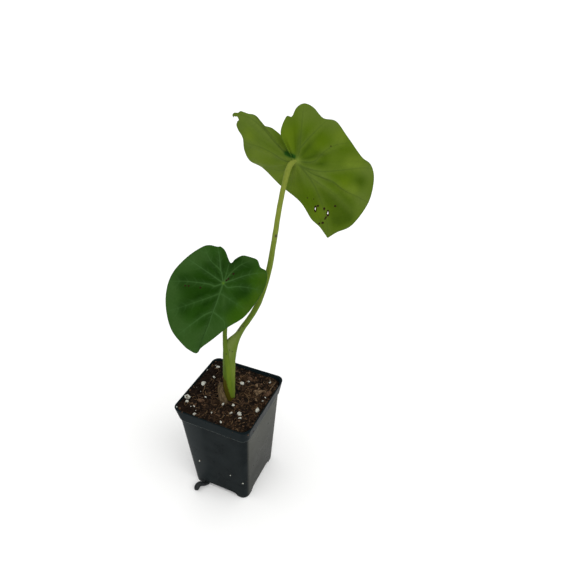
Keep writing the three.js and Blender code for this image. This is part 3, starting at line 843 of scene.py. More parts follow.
def blade_points(blade, share, out):
    """Flat places and middle-surface points at shares of the edge's length and of the way out."""
    across, up, towards = blade_frame(blade["lean"])
    rim = catmull(blade["edge"], share, closed=True)
    hump = between(blade["sectors"], headings(rim)) * np.sin(math.pi * out**PUFF)
    lift = rim[:, 2] * out**BEND + blade["faces"] * blade["quilt"] * hump
    flat = rim[:, :2] * out[:, None]
    return flat, lift, (np.array(blade["joint"]), across, up, towards)


def rim_edges(faces):
    """Edges that only one triangle has, in that triangle's order."""
    edges = {(a, b) for f in faces.tolist() for a, b in zip(f, f[1:] + f[:1])}
    return sorted((a, b) for a, b in edges if (b, a) not in edges)


def without_pinches(faces):
    """Takes away the triangles round each point where a hole would touch itself."""
    while True:
        starts, times = np.unique([a for a, b in rim_edges(faces)], return_counts=True)
        pinched = starts[times > 1]
        if len(pinched) == 0:
            return faces
        faces = faces[~np.isin(faces, pinched).any(axis=1)]


def make_blade(name, blade, veins, patches, slot, sides, bites=(), specks=(), notches=()):
    """A thin leaf blade with sunk veins above, ribs below, puffed fields between them and holes."""
    def edge(share):
        return catmull(blade["edge"], share, closed=True)

    def from_middle(places, oval):
        x, y, half_width, half_height = oval
        return np.hypot((places[:, 0] - x) / half_width, (places[:, 1] - y) / half_height)

    share, out, faces, _ = disc(edge, BLADE_SPACING)
    flat, lift, (joint, across, up, towards) = blade_points(blade, share, out)
    main, haze, side, nearest = vein_fields(flat, veins)
    open_field = np.sin(math.pi * np.clip(out, 0, 1) ** 0.8)
    puff = (1 - nearby(nearest, FIELD_WIDTH)) * open_field
    lift = lift + blade["faces"] * (FIELD_RISE * puff - SIDE_VEIN_RISE * side * open_field)
    lift = lift + WAVE_RISE * rough(np.column_stack([flat, lift * 0]), WAVE_SIZE, 3) * out
    middle = joint + np.outer(flat[:, 0], across) + np.outer(flat[:, 1], up) + np.outer(lift, towards)
    faces = np.array(faces)
    for oval in [*bites, *notches]:
        faces = faces[from_middle(flat[faces].mean(axis=1), oval) >= 1]
    faces = without_pinches(faces)
    facing = point_normals(middle, faces) * blade["faces"]
    rib = main * (1 - 0.5 * out)
    upper = middle + facing * (FINE_THICKNESS / 2 - VEIN_SINK * rib)[:, None]
    under = middle - facing * (FINE_THICKNESS / 2 + RIB_RISE * rib + SIDE_VEIN_RISE * side)[:, None]
    top, bottom = (upper, under) if blade["faces"] > 0 else (under, upper)
    count = len(middle)
    skin = [tuple(f) for f in faces.tolist()]
    skin += [(a + count, c + count, b + count) for a, b, c in faces.tolist()]
    skin += [(b, a, a + count, b + count) for a, b in rim_edges(faces)]
    piece = new_mesh(name, np.vstack([top, bottom]), skin)
    hole = np.full(count, 9.0)
    for oval in bites:
        hole = np.minimum(hole, (from_middle(flat, oval) - 1) * oval[2] - BITE_RIM)
    for x, y, radius in specks:
        hole = np.minimum(hole, np.hypot(flat[:, 0] - x, flat[:, 1] - y) - radius)
    painted = {"vein": main, "haze": haze, "branch": side, "rim": out, "scar": hole}
    painted["joint"] = nearby(np.linalg.norm(flat, axis=1), blade["spot"])
    painted["field"] = between(blade["sectors"], headings(flat)) * open_field
    for label, (radius, places) in patches.items():
        painted[label] = patch_field(flat, radius, places)
    for label, values in painted.items():
        paint(piece, label, np.concatenate([values, values]))
    dress(piece, slot, *sides)
    for face in piece.data.polygons:
        lower_half = face.vertices[0] >= count
        face.material_index = int(lower_half != (blade["faces"] < 0))
    return piece, (blade, flat, lift)


def press_to_blade(points, blade, flat, lift, reach=14):
    """Keeps a stalk's end on its own side of the blade, so that it doesn't come through."""
    joint = np.array(blade["joint"])
    across, up, towards = blade_frame(blade["lean"])
    tree = KDTree(len(flat))
    for k, (x, y) in enumerate(flat):
        tree.insert((x, y, 0), k)
    tree.balance()
    away = -blade["faces"]
    for k, point in enumerate(points):
        offset = point - joint
        if np.linalg.norm(offset) > reach:
            continue
        x, y, z = offset @ across, offset @ up, offset @ towards
        surface = lift[tree.find((x, y, 0))[1]]
        if (z - surface) * away < 0:
            points[k] = joint + across * x + up * y + towards * surface
    return points


def make_stalk(name, route, steps, leaf, slot, skin, winged=False):
    """A stalk that ends on its leaf, painted with its pale, stained and bruised parts."""
    points, faces, pale = stalk(route, steps, 48, winged)
    points = press_to_blade(points, *leaf)
    piece = new_mesh(name, points, faces)
    paint(piece, "wing", pale)
    for label, found in (("side", sideways), ("stain", stained), ("bruise", bruised)):
        paint(piece, label, found(points))
    return dress(piece, slot, skin)


# The dried leaf base stands round the stem like a crescent: its middle, heights, radii and angles
DRIED = {
    "x": 0.5, "y": -2, "bottom": 80.6, "top": 98, "inner": 4.4, "thickness": 3.7, "thinning": 1.1,
    "edge": 0.8, "bump": 0.45, "fibre": 0.16, "ragged": 1.6, "split": 0.5, "from": 140, "to": 300,
    "narrowing": 46, "uneven": 0.25,
}


# Potting mix: it falls a little to the right and the back, is calmer near the wall, has a hollow
# round the stem and has crumbs of two sizes with gaps between them. Loose bits keep clear of the
# stem, and fibres of the wall
SOIL_LEVEL = 86.9
SOIL_SLOPES = (-0.045, -0.012)
BROAD_WAVES = 0.55
FINE_WAVES = 0.45
WALL_CALM = 0.7
CALM_FROM = 24
CALM_TO = 31
HOLLOW_DEPTH = 0.5
HOLLOW_FROM = 7
HOLLOW_TO = 11
CRUMB_SIZES = (2.6, 1.1)
CRUMB_HEIGHTS = (0.7, 0.3)
HUMP_SIZE = 5
HUMP_HEIGHT = 0.5
GAP_DEPTH = 0.35
STEM_CLEARING = 9
FIBRE_ROOM = 4
GRAINS = [
    (-26.8, -16.5, 4.6), (-23.1, 0.3, 3.7), (-19.7, 10.6, 2.4), (-22.3, 21.3, 3), (16, -13.8, 3.5),
    (18.4, -17.7, 2.1), (26.2, -4.9, 3.4), (3.2, 14.4, 3), (22.2, 24.6, 2.3), (8, -8.9, 2.6),
    (10, -16, 2), (7.5, -26.5, 2.2), (-13.2, -28.3, 2.4), (-24.6, -20.6, 2.5), (-17.6, -22.4, 1.9),
    (0.4, -10.9, 2.2), (25.9, 8.4, 1.8), (25.8, 4.8, 1.8), (-27.9, 14.2, 1.9), (6.8, 18.1, 1.6),
    (-2.7, -22, 1.7), (-14.6, -10.7, 1.5),
]
# How far their middles lie above the mix, and a grain's height, for a grain as shares of its width
GRAIN_RISE = 0.1
GRAIN_HEIGHT = 0.6
CHIP_RISE = 0.35
# A dark lump of bark set in the pit of the largest grain, a painted shadow for the shade in
# the pit: x, y, height above the mix, width
GRAIN_PIT_SHADOW = (-26.5, -17.3, 1.6, 1.5)
# Chips lie flat: x, y, length, width, height, turn, and 0 for bark or 1 for pale coir husk
CHIPS = [
    (16.4, 11.5, 4.2, 2.6, 1.6, 20, 1), (19.6, 12.6, 4.6, 3, 1.8, 60, 1),
    (18.2, 9.6, 3.4, 1.8, 1.4, 130, 1), (21.6, 14.8, 3.8, 1.8, 1.4, 10, 1),
    (17.5, 14, 3, 1.2, 1.2, 80, 1), (26.3, 13.3, 6, 4, 2.2, 75, 0), (-15.6, -15.5, 5, 3, 2.2, 10, 0),
    (6.2, 21.6, 6, 3, 2.2, 160, 0), (26, 22, 13, 0.6, 0.7, 88, 1), (21, 3, 4, 1.4, 1.5, 140, 1),
    (-8, 24, 6, 0.7, 0.8, 20, 1), (-20, -3, 5, 0.7, 0.8, 115, 1), (14.5, 17, 4.5, 2, 1.6, 100, 1),
]


def soil_height(x, y):
    """Height of the mix at a place, without its crumbs."""
    slope = SOIL_SLOPES[0] * x + SOIL_SLOPES[1] * y
    broad = BROAD_WAVES * np.sin(x * 0.31 + 1.3) * np.cos(y * 0.27 - 0.4)
    fine = FINE_WAVES * np.sin(x * 0.83 + y * 0.41) * np.cos(y * 0.77 - x * 0.36 + 2)
    calm = 1 - WALL_CALM * smooth(CALM_FROM, CALM_TO, np.maximum(np.abs(x), np.abs(y)))
    return np.minimum(SOIL_LEVEL + slope + (broad + fine) * calm, POT_HEIGHT - GAP)


def crumbled(points):
    """Height of the crumbs of peat on the bed: rounded lumps with gaps between them, which
    the peat material paints dark as shade.
    """
    heights = []
    for x, y in points:
        height = 0
        for size, share, seed in zip(CRUMB_SIZES, CRUMB_HEIGHTS, (0.3, 4.7)):
            near, next_near = noise.voronoi(Vector((x / size, y / size, seed)))[0][:2]
            height += share * (next_near - near)
        heights.append(height + HUMP_HEIGHT * noise.noise(Vector((x / HUMP_SIZE, y / HUMP_SIZE, 9))))
    return np.array(heights) - GAP_DEPTH


def make_bed(peat, spacing=0.36):
    """The crumbled bed of mix. Also its open ground for loose bits, whole and away from the wall."""
    inset = POT_WALL + GAP
    width = band_width(SOIL_LEVEL) - 2 * inset
    corner = POT_CORNER - inset
    ring = np.array(square_ring(width, corner, 0, 14, 40))
    line = np.vstack([ring, ring[:1]])
    along = travelled(line)

    def edge(share):
        return np.column_stack([np.interp(share * along[-1], along, line[:, k]) for k in range(3)])

    share, out, faces, counts = disc(edge, spacing)
    flat = edge(share)[:, :2] * out[:, None]
    lump = crumbled(flat)
    off_stem = np.linalg.norm(flat - [DRIED["x"], DRIED["y"]], axis=1)
    lump -= HOLLOW_DEPTH * (1 - smooth(HOLLOW_FROM, HOLLOW_TO, off_stem))
    top = np.column_stack([flat, soil_height(flat[:, 0], flat[:, 1]) + lump * (1 - 0.5 * out**8)])
    last = len(top) - counts[-1]
    rings = [top[last:]]
    ledge = BAND_BOTTOM - LEDGE + inset
    for size, z in (
        (band_width(ledge + LEDGE) - 2 * inset, ledge + LEDGE),
        (body_width(ledge) - 2 * inset, ledge),
        (body_width(FLOOR_TOP) - 2 * inset, FLOOR_TOP + GAP),
    ):
        rings.append(np.column_stack([top[last:, :2] * size / width, np.full(counts[-1], z)]))
    top = out_of_true(top)
    points = np.vstack([top] + [out_of_true(r) for r in rings[1:]] + [[(0, 0, FLOOR_TOP + GAP)]])
    skin = [tuple(f) for f in faces]
    for face in ring_faces(len(rings), counts[-1], last):
        skin.append(face[::-1])
    foot = len(points) - 1 - counts[-1]
    for i in range(counts[-1]):
        skin.append((len(points) - 1, foot + (i + 1) % counts[-1], foot + i))
    bed = new_mesh("potting_mix_bed", points, skin)
    paint(bed, "lump", np.concatenate([lump, np.zeros(len(points) - len(top))]))
    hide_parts("potting_mix")
    centres = top[np.array(faces), :2].mean(axis=1)
    open_ground = np.linalg.norm(centres - [DRIED["x"], DRIED["y"]], axis=1) > STEM_CLEARING
    away_from_wall = open_ground & (np.abs(centres).max(axis=1) < width / 2 - FIBRE_ROOM)
    dress(bed, "potting_mix", peat)
    return [
        new_mesh(name, top, [face for face, is_in in zip(faces, area) if is_in])
        for name, area in (("ground", open_ground), ("middle_ground", away_from_wall))
    ]


KNOB_SIZE = 0.7
KNOB_HEIGHT = 0.28
PIT_SIZE = 0.22
PIT_DEPTH = 0.12
# Its broken sides take some of a crumb's size away, which this gives back
REGAIN = 1.15


def lumpy(points, size, seed, sides=9):
    """Turns a ball of points into a crumb: flat broken sides, rounded knobs and small pits."""
    random = np.random.default_rng(seed)
    directions = unit(np.asarray(points, float))
    facets = unit(random.normal(size=(sides, 3)))
    depths = random.uniform(0.62, 0.95, sides)
    reach = np.ones(len(directions))
    for facet, depth in zip(facets, depths):
        reach = np.minimum(reach, depth / np.maximum(directions @ facet, 0.3))
    knob = rough(directions, KNOB_SIZE, seed)
    pit = rough(directions, PIT_SIZE, seed + 7)
    reach = reach * (1 + KNOB_HEIGHT * knob + PIT_DEPTH * pit)
    return directions * reach[:, None] * np.array(size) / 2 * REGAIN


def ball(level):
    """Points and faces of a ball, finer with each level."""
    mesh = bmesh.new()
    bmesh.ops.create_icosphere(mesh, subdivisions=level, radius=1)
    points = [tuple(v.co) for v in mesh.verts]
    faces = [tuple(v.index for v in f.verts) for f in mesh.faces]
    mesh.free()
    return points, faces


def many_lumps(name, lumps, level, slot, *materials):
    """One piece of many crumbs, each a middle, a size, a turn about +Z in degrees and the number
    of its material."""
    points, faces, kinds = [], [], []
    ball_points, ball_faces = ball(level)
    for number, (middle, size, turn, kind) in enumerate(lumps):
        c, s = math.cos(math.radians(turn)), math.sin(math.radians(turn))
        shaped = lumpy(ball_points, size, number * 3 + 1)
        shaped = shaped @ np.array([[c, s, 0], [-s, c, 0], [0, 0, 1]]) + middle
        faces += [tuple(number * len(ball_points) + i for i in f) for f in ball_faces]
        points.append(shaped)
        kinds += [kind] * len(ball_faces)
    piece = new_mesh(name, np.vstack(points), faces)
    dress(piece, slot, *materials)
    piece.data.polygons.foreach_set("material_index", kinds)
    return piece


def make_grains(perlite, bark):
    lumps = []
    for number, (x, y, width) in enumerate(GRAINS):
        middle = (x, y, soil_height(x, y) + GRAIN_RISE * width)
        depth = width * (0.7 + 0.2 * math.sin(number * 2.1))
        lumps.append((middle, (width, depth, width * GRAIN_HEIGHT), number * 77, 0))
    # A dark bark lump in the grain's pit stands for the pit's shade
    x, y, above, width = GRAIN_PIT_SHADOW
    lumps.append(((x, y, soil_height(x, y) + above), (width, width, width), 0, 1))
    return many_lumps("perlite_grains", lumps, 4, "potting_mix", perlite, bark)


def make_chips(bark, husk):
    lumps = []
    for x, y, length, width, height, turn, kind in CHIPS:
        lumps.append(((x, y, soil_height(x, y) + CHIP_RISE), (length, width, height), turn, kind))
    return many_lumps("bark_chips", lumps, 4, "potting_mix", bark, husk)


# Crumbs stuck to the pot: x, y, z, width, height, and 0 for bark or 1 for perlite
STUCK = [
    (-16.2, -26.35, 30.6, 1.1, 1.9, 1), (-15.1, -26.3, 31.6, 0.6, 0.7, 0),
    (11.3, -26.2, 27, 0.9, 0.9, 1), (21.5, -25.5, 22, 1.5, 0.4, 1),
    (24.2, -23.3, 23.2, 0.5, 0.6, 0), (16.6, -29.9, 77.6, 0.6, 0.6, 0),
    (30.2, -19.6, 80.1, 0.6, 0.8, 0), (28.5, 23.3, 69.6, 0.5, 0.7, 1),
    (30.6, -28.4, 86.4, 1.2, 1.6, 0), (-22, -31.2, 88.6, 1.3, 0.8, 0), (-8, -31.1, 88.7, 1, 0.7, 0),
    (4, -31.2, 88.6, 1.1, 0.8, 0), (-28.4, -28.8, 88.8, 1.2, 0.9, 1),
    (20, -31.4, 87.4, 0.7, 0.6, 0), (-14, -31.2, 86.5, 0.6, 0.6, 0),
]


def make_stuck_crumbs(bark, perlite):
    lumps = [((x, y, z), (width, width, height), 0, kind) for x, y, z, width, height, kind in STUCK]
    return many_lumps("crumbs_on_pot", lumps, 2, "potting_mix", bark, perlite)


# What strew gives a tree: amounts per square metre, sizes in metres
SCATTER_INPUTS = {
    "Per square metre": "NodeSocketFloat",
    "Smallest": "NodeSocketFloat",
    "Largest": "NodeSocketFloat",
    "Seed": "NodeSocketInt",
    "Material": "NodeSocketMaterial",
}
FULL_TURN = 6.28
FIBRE_TILT = 0.22
FIBRE_BEND = (4 * MM, 4 * MM, 1.2 * MM)
FIBRE_RADIUS = 0.13 * MM
FIBRE_LIFT = 0.5 * MM


def strewing_tree(name, fibres):
    """Strews a surface with small rough lumps, half sunk in it, or with thin curved fibres that
    lie flat on it, each a bent round thread."""
    tree = bpy.data.node_groups.new(name, "GeometryNodeTree")
    for way in ("INPUT", "OUTPUT"):
        tree.interface.new_socket("Geometry", in_out=way, socket_type="NodeSocketGeometry")
    for label, kind in SCATTER_INPUTS.items():
        tree.interface.new_socket(label, in_out="INPUT", socket_type=kind)
    given = add(tree, "NodeGroupInput").outputs
    places = add(tree, "GeometryNodeDistributePointsOnFaces", {
        "Mesh": given["Geometry"], "Density": given["Per square metre"], "Seed": given["Seed"],
    }).outputs["Points"]
    if fibres:
        lift = {"Geometry": places, "Offset": (0, 0, FIBRE_LIFT)}
        places = add(tree, "GeometryNodeSetPosition", lift).outputs[0]
        bow = {"Resolution": 12, "Radius": 1.0, "Sweep Angle": 1.2}
        shape = add(tree, "GeometryNodeCurveArc", bow).outputs[0]
        turns = {0: (-FIBRE_TILT, -FIBRE_TILT, 0), 1: (FIBRE_TILT, FIBRE_TILT, FULL_TURN)}
    else:
        lump = {"Radius": 0.5, "Segments": 7, "Rings": 5}
        shape = add(tree, "GeometryNodeMeshUVSphere", lump).outputs["Mesh"]
        turns = {0: (0, 0, 0), 1: (FULL_TURN, FULL_TURN, FULL_TURN)}
    turns["Seed"] = given["Seed"]
    turn = add(tree, "FunctionNodeRandomValue", turns, data_type="FLOAT_VECTOR")
    size = add(tree, "FunctionNodeRandomValue", {
        2: given["Smallest"], 3: given["Largest"], "Seed": given["Seed"],
    }, data_type="FLOAT")
    copies = add(tree, "GeometryNodeInstanceOnPoints", {
        "Points": places, "Instance": shape, "Rotation": turn.outputs[0], "Scale": size.outputs[1],
    })
    real = add(tree, "GeometryNodeRealizeInstances", {"Geometry": copies.outputs[0]})
    bumps = add(tree, "ShaderNodeTexNoise", {
        "Vector": add(tree, "GeometryNodeInputPosition").outputs[0],
        "Scale": per_mm(4 if fibres else 0.9), "Detail": 1,
    })
    centred = add(tree, "ShaderNodeVectorMath", {
        0: bumps.outputs["Color"], 1: (0.5, 0.5, 0.5),
    }, operation="SUBTRACT").outputs[0]
    if fibres:
        reach = {0: centred, 1: FIBRE_BEND}
        push = add(tree, "ShaderNodeVectorMath", reach, operation="MULTIPLY")
    else:
        depth = add(tree, "ShaderNodeMath", {0: given["Largest"], 1: 0.7}, operation="MULTIPLY")
        reach = {0: centred, "Scale": depth.outputs[0]}
        push = add(tree, "ShaderNodeVectorMath", reach, operation="SCALE")
    made = add(tree, "GeometryNodeSetPosition", {
        "Geometry": real.outputs[0], "Offset": push.outputs[0],
    }).outputs[0]
    if fibres:
        circle = {"Resolution": 5, "Radius": FIBRE_RADIUS}
        section = add(tree, "GeometryNodeCurvePrimitiveCircle", circle).outputs[0]
        thread = {"Curve": made, "Profile Curve": section, "Fill Caps": True}
        made = add(tree, "GeometryNodeCurveToMesh", thread).outputs[0]
    painted = add(tree, "GeometryNodeSetMaterial", {"Geometry": made, "Material": given["Material"]})
    add(tree, "NodeGroupOutput", {"Geometry": painted.outputs[0]})
    return tree


def strew(name, ground, tree, amount, smallest, largest, seed, material):
    """A piece of many small copies over the ground, with its sizes in millimetres."""
    piece = bpy.data.objects.new(name, ground.data.copy())
    bpy.context.scene.collection.objects.link(piece)
    modifier = piece.modifiers.new(name, "NODES")
    modifier.node_group = tree
    values = dict(zip(SCATTER_INPUTS, (float(amount), smallest * MM, largest * MM, seed, material)))
    for item in tree.interface.items_tree:
        if item.in_out == "INPUT" and item.name in values:
            modifier[item.identifier] = values[item.name]
    settled(piece)
    piece.data.shade_smooth()
    return dress(piece, "potting_mix", material)


# Dried leaf base round the foot of the stem
def make_dried_base(dry, steps=60, across=72):
    """A crescent of papery sheath that thins out upwards into a ragged, split edge."""
    rings = []
    for k in range(steps + 1):
        rise = k / steps
        z = blend(DRIED["bottom"], DRIED["top"], rise)
        narrow = DRIED["narrowing"] * rise**1.5
        start = DRIED["from"] + narrow * 0.7
        end = DRIED["to"] - narrow * 1.5
        outer = DRIED["inner"] + DRIED["thickness"] - DRIED["thinning"] * rise
        outside, inside = [], []
        for i in range(across + 1):
            part = i / across
            angle = math.radians(blend(start, end, part))
            dome = math.sin(math.pi * part)
            bump = DRIED["bump"] * math.sin(part * 19 + rise * 3) * dome
            fibre = DRIED["fibre"] * math.sin(part * 88 + 2 * math.sin(rise * 5)) * dome
            thin = DRIED["inner"] + DRIED["edge"]
            wall = blend(thin, outer + bump, dome**0.5) + fibre
            ragged = DRIED["ragged"] * math.sin(part * 13) + DRIED["split"] * math.sin(part * 57)
            height = z + ragged * smooth(0.8, 1, rise)
            for side, radius in ((outside, wall), (inside, DRIED["inner"] - DRIED["edge"])):
                x, y = radius * math.cos(angle), radius * math.sin(angle)
                side.append((DRIED["x"] + x, DRIED["y"] + y, height))
        rings.append(outside + inside[::-1])
    points, faces = loft(rings)
    points = np.array(points)
    outwards = unit(points[:, :2] - [DRIED["x"], DRIED["y"]])
    points[:, :2] += DRIED["uneven"] * rough(points, 2.5, 5)[:, None] * outwards
    base = new_mesh("dried_sheath", points, faces)
    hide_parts("dried_leaf_base")
    return dress(base, "dried_sheath", dry)


# Root end on the ground: a route of x, y, z, radius
ROOT = [
    (-11.5, -20.5, 1.6, 0.8),
    (-12.4, -24.6, 1.7, 1.05),
    (-14.4, -27.3, 2.9, 1.6),
    (-16.9, -28.7, 3.4, 2),
    (-18.2, -30.6, 2.9, 2.2),
    (-18, -32.8, 2.3, 2.1),
    (-17.5, -34, 2.1, 1.5),
]
ROOT_LIFT = 0.05


def make_root(bark):
    points, faces, _ = stalk(ROOT, 60, 28, ribs=0.06)
    points[:, 2] = np.maximum(points[:, 2], ROOT_LIFT)
    root = new_mesh("root_end", points, faces)
    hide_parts("drain_root")
    return dress(root, "root_skin", bark)


# Materials
def moulded_polypropylene():
    """Black moulded polypropylene: a fine dull grain, a lighter tone towards the left edge, a
    painted sheen on the right wall that grows lighter upwards, and a darker rim band with a
    painted highlight in a broken line along its foot."""
    material, tree, place, (film, speckle, grain) = start_material(
        "polypropylene_moulded_black", (14, 4), (0.7, 2), (0.45, 3))
    across, _, height = add(tree, "ShaderNodeSeparateXYZ", {0: place}).outputs
    normal = add(tree, "ShaderNodeNewGeometry").outputs["Normal"]
    facing = add(tree, "ShaderNodeSeparateXYZ", {0: normal}).outputs[0]
    shares = []
    for value, low, high in (
        (height, (BAND_FOOT + 0.1) * MM, (BAND_FOOT + 0.6) * MM),
        (height, (BAND_FOOT + 0.6) * MM, (BAND_FOOT + 0.1) * MM),
        (height, (BAND_FOOT - 0.5) * MM, BAND_FOOT * MM),
        (speckle, 0.38, 0.52),
        (facing, 0.86, 0.985),
    ):
        reach = {"Value": value, "From Min": low, "From Max": high}
        shares.append(add(tree, "ShaderNodeMapRange", reach).outputs[0])
    band, below_band, above_line, broken, right = shares
    line = add(tree, "ShaderNodeMath", {0: above_line, 1: band}, operation="SUBTRACT").outputs[0]
    # Painted highlight: a thin pale line along the band's foot, broken up by speckle
    painted_ledge_highlight = add(tree, "ShaderNodeMath", {0: line, 1: broken}, operation="MULTIPLY").outputs[0]
    # Painted sheen: the right wall below the band is painted lighter, more so towards the top
    painted_sheen = add(tree, "ShaderNodeMath", {0: right, 1: below_band}, operation="MULTIPLY").outputs[0]
    colour = layers(tree, "#14191a", (
        ("#1f2425", film, 0.42, 0.75),
        # Lighter towards the left edge
        ("#333738", across, POT_MIDDLE.x - 8 * MM, POT_MIDDLE.x - 26 * MM),
        (layer(tree, "#353633", "#454640", height, 20 * MM, 75 * MM), painted_sheen),
        ("#34383a", speckle, 0.55, 0.8, 0.3),
        ("#10181a", band),
        ("#6e726e", painted_ledge_highlight),
    ))
    dull = {"Value": film, "From Min": 0.3, "From Max": 0.7, "To Min": 0.24, "To Max": 0.36}
    roughness = add(tree, "ShaderNodeMapRange", dull).outputs[0]
    return finish_material(material, tree, {
        "Base Color": colour, "Roughness": roughness, "IOR": 1.49, "Specular IOR Level": 0.012,
    }, grain, 0.12, 0.05)


def peat():
    """Moist peat and coir: near black in the gaps as painted shade, warm brown on the crumbs
    and darker towards the left.
    """
    material, tree, place, (tone, patch, grit) = start_material(
        "peat_and_coir_moist", (2.2, 5), (9, 2), (0.35, 4))
    height = add(tree, "ShaderNodeAttribute", attribute_name="lump").outputs["Fac"]
    across = add(tree, "ShaderNodeSeparateXYZ", {0: place}).outputs[0]
    colour = layers(tree, "#0a0603", (
        # Painted shade: low places between the crumbs stay near black and the crumb tops are lighter
        ("#22160e", height, -0.3, 0.35),
        ("#4f3b29", tone, 0.5, 0.7),
        ("#392817", patch, 0.5, 0.75, 0.6),
        # Darker towards the left
        ("#140b06", across, POT_MIDDLE.x, POT_MIDDLE.x - 22 * MM, 0.85),
    ))
    return finish_material(material, tree, {
        "Base Color": colour, "Roughness": 0.9, "Specular IOR Level": 0.1,
    }, grit, 0.8, 0.3)


def expanded_perlite():
    """Expanded perlite: chalky white glass foam, grey in its sunk pits as painted shade, with a
    little soil rubbed in.
    """
    material, tree, place, (stain,) = start_material("perlite_expanded", (1.6, 3))
    cells = add(tree, "ShaderNodeTexVoronoi", {"Vector": place, "Scale": per_mm(0.55)})
    pits = cells.outputs["Distance"]
    # Painted shade: the sunk pits of the cells are grey
    colour = layers(tree, "#757469", (
        ("#c0c2b8", pits, 0.1, 0.5),
        ("#5b4c3a", stain, 0.48, 0.7, 0.8),
    ))
    return finish_material(material, tree, {
        "Base Color": colour, "Roughness": 0.85, "Specular IOR Level": 0.2,
    }, pits, 0.7, 0.3)


def plain_fibre(name, dark, light, size, roughness):
    """A dry plant fibre or flake whose colour wanders between two browns."""
    material, tree, _, (tone, grain) = start_material(name, (size, 3), (0.4, 3))
    return finish_material(material, tree, {
        "Base Color": layer(tree, dark, light, tone, 0.35, 0.68), "Roughness": roughness,
        "Specular IOR Level": 0.12,
    }, grain, 0.6, 0.2)


def dry_sheath():
    """Dead leaf base: papery brown fibre that runs lengthwise, paler on the ribs."""
    material, tree, _, (fibre, patch) = start_material("leaf_base_dried", (0.5, 4, 0.16), (3, 3))
    colour = layers(tree, "#3b3020", (
        ("#726048", fibre, 0.35, 0.68),
        ("#534c20", patch, 0.5, 0.75, 0.6),
    ))
    return finish_material(material, tree, {
        "Base Color": colour, "Roughness": 0.8, "Specular IOR Level": 0.12,
    }, fibre, 0.7, 0.25)


def stalk_skin(name, bend, top):
    """Living stalk: satin green skin with fine lengthwise streaks. Its foot is darker on the left
    as painted shade, paler along the right edge as painted light, and stained brown at the bottom."""
    material, tree, place, (streak, patch) = start_material(name, (0.9, 4, 0.06), (7, 3))
    height = add(tree, "ShaderNodeSeparateXYZ", {0: place}).outputs[2]
    side, pale, brown, bruise = (
        add(tree, "ShaderNodeAttribute", attribute_name=label).outputs["Fac"]
        for label in ("side", "wing", "stain", "bruise")
    )
    colour = layers(tree, "#465919", (
        # Painted shade on the left of the foot and painted light along its right edge
        ("#5e7220", side, -1.7, -0.5),
        ("#6c7b35", side, 1.6, 2.8, 0.6),
        (bend, height, 116 * MM, 136 * MM),
        (top, height, 172 * MM, 236 * MM),
        ("#3d5817", streak, 0.45, 0.75, 0.45),
        ("#6f7d42", pale, 0.04, 0.9, 0.75),
        (bend, patch, 0.4, 0.65, 0.35),
        ("#433d0d", brown, -0.15, 0.25),
        ("#33202a", bruise, 0.25, 0.7, 0.85),
    ))
    return finish_material(material, tree, {
        "Base Color": colour, "Roughness": 0.45, "IOR": 1.45, "Specular IOR Level": 0.05,
    }, streak, 0.25, 0.15)


# Tones of a leaf's skin, in the order of their hex values below
TONES = "plain deep fresh grey shade light field joint pocket vein haze rim".split()
SCAR = "#26150c"


def leaf_skin(name, tones, haze, net, branch, vein, roughness, relief):
    """Leaf skin: patches of grey, deep and fresh green, a fine net, main veins and brown scars.
    The shares say how strongly the haze, net, side veins and main veins show."""
    material, tree, place, (drift, fine) = start_material(name, (9, 3), (1.2, 3))
    cells = add(tree, "ShaderNodeTexVoronoi", {
        "Vector": place, "Scale": per_mm(2.2),
    }, feature="DISTANCE_TO_EDGE").outputs[0]
    tone = dict(zip(TONES, tones.split()))
    given = {
        label: add(tree, "ShaderNodeAttribute", attribute_name=label).outputs["Fac"]
        for label in (*TONES[1:], "branch", "scar")
    }
    # The shade patches among these are painted shade
    patches = [(tone[label], given[label], 0.1, 0.95) for label in TONES[1:6]]
    colour = layers(tree, tone["plain"], (
        *patches,
        (tone["field"], given["field"], 0.1, 1, 0.45),
        (tone["plain"], drift, 0.4, 0.7, 0.3),
        (tone["deep"], fine, 0.45, 0.75, 0.2),
        (tone["haze"], given["haze"], 0.1, 1, haze),
        (tone["haze"], cells, 0.06, 0, net),
        (tone["vein"], given["branch"], 0.15, 1, branch),
        (tone["vein"], given["vein"], 0.1, 0.9, vein),
        (tone["joint"], given["joint"]),
        # Painted shadow in the fold by the joint
        (tone["pocket"], given["pocket"]),
        (tone["rim"], given["rim"], 0.985, 1, 0.6),
        (SCAR, given["scar"], 0.24, 0.04),
    ))
    return finish_material(material, tree, {
        "Base Color": colour, "Roughness": roughness, "IOR": 1.42, "Specular IOR Level": 0.03,
    }, cells, 0.3, relief)


def painted_board():
    """Matt white board that the plant stands on."""
    material, tree, _, (tone,) = start_material("board_painted_white", (90, 2))
    colour = layer(tree, "#f4f4f3", "#f9f9f8", tone)
    return finish_material(material, tree, {"Base Color": colour, "Roughness": 0.9})


# Floor and lights
FLOOR_REACH = 6000
FLOOR_HEIGHT = -0.1
SKY_STRENGTH = 0.85


def make_floor():
    corners = ((-1, -1), (1, -1), (1, 1), (-1, 1))
    points = [(x * FLOOR_REACH, y * FLOOR_REACH, FLOOR_HEIGHT) for x, y in corners]
    floor = new_mesh("floor", points, [(0, 1, 2, 3)])
    floor.data.materials.append(painted_board())


def soft_sun(name, azimuth, elevation, width, strength):
    """Even light from one side of the sky, width degrees wide."""
    away = Vector(direction(azimuth, elevation))
    data = bpy.data.lights.new(name, "SUN")
    data.angle = math.radians(width)
    data.energy = strength
    light = bpy.data.objects.new(name, data)
    light.location = Vector(in_frame((0, 0, 150))) + away
    light.rotation_euler = away.to_track_quat("Z", "Y").to_euler()
    bpy.context.scene.collection.objects.link(light)


def light_room():
    world = bpy.data.worlds.new("studio")
    world.use_nodes = True
    background = world.node_tree.nodes["Background"]
    background.inputs["Color"].default_value = (1, 1, 1, 1)
    background.inputs["Strength"].default_value = SKY_STRENGTH
    bpy.context.scene.world = world
    bpy.context.scene.view_settings.view_transform = "Standard"
    soft_sun("key", 75, 52, 50, 1.1)
    soft_sun("fill", -40, 60, 80, 0.4)


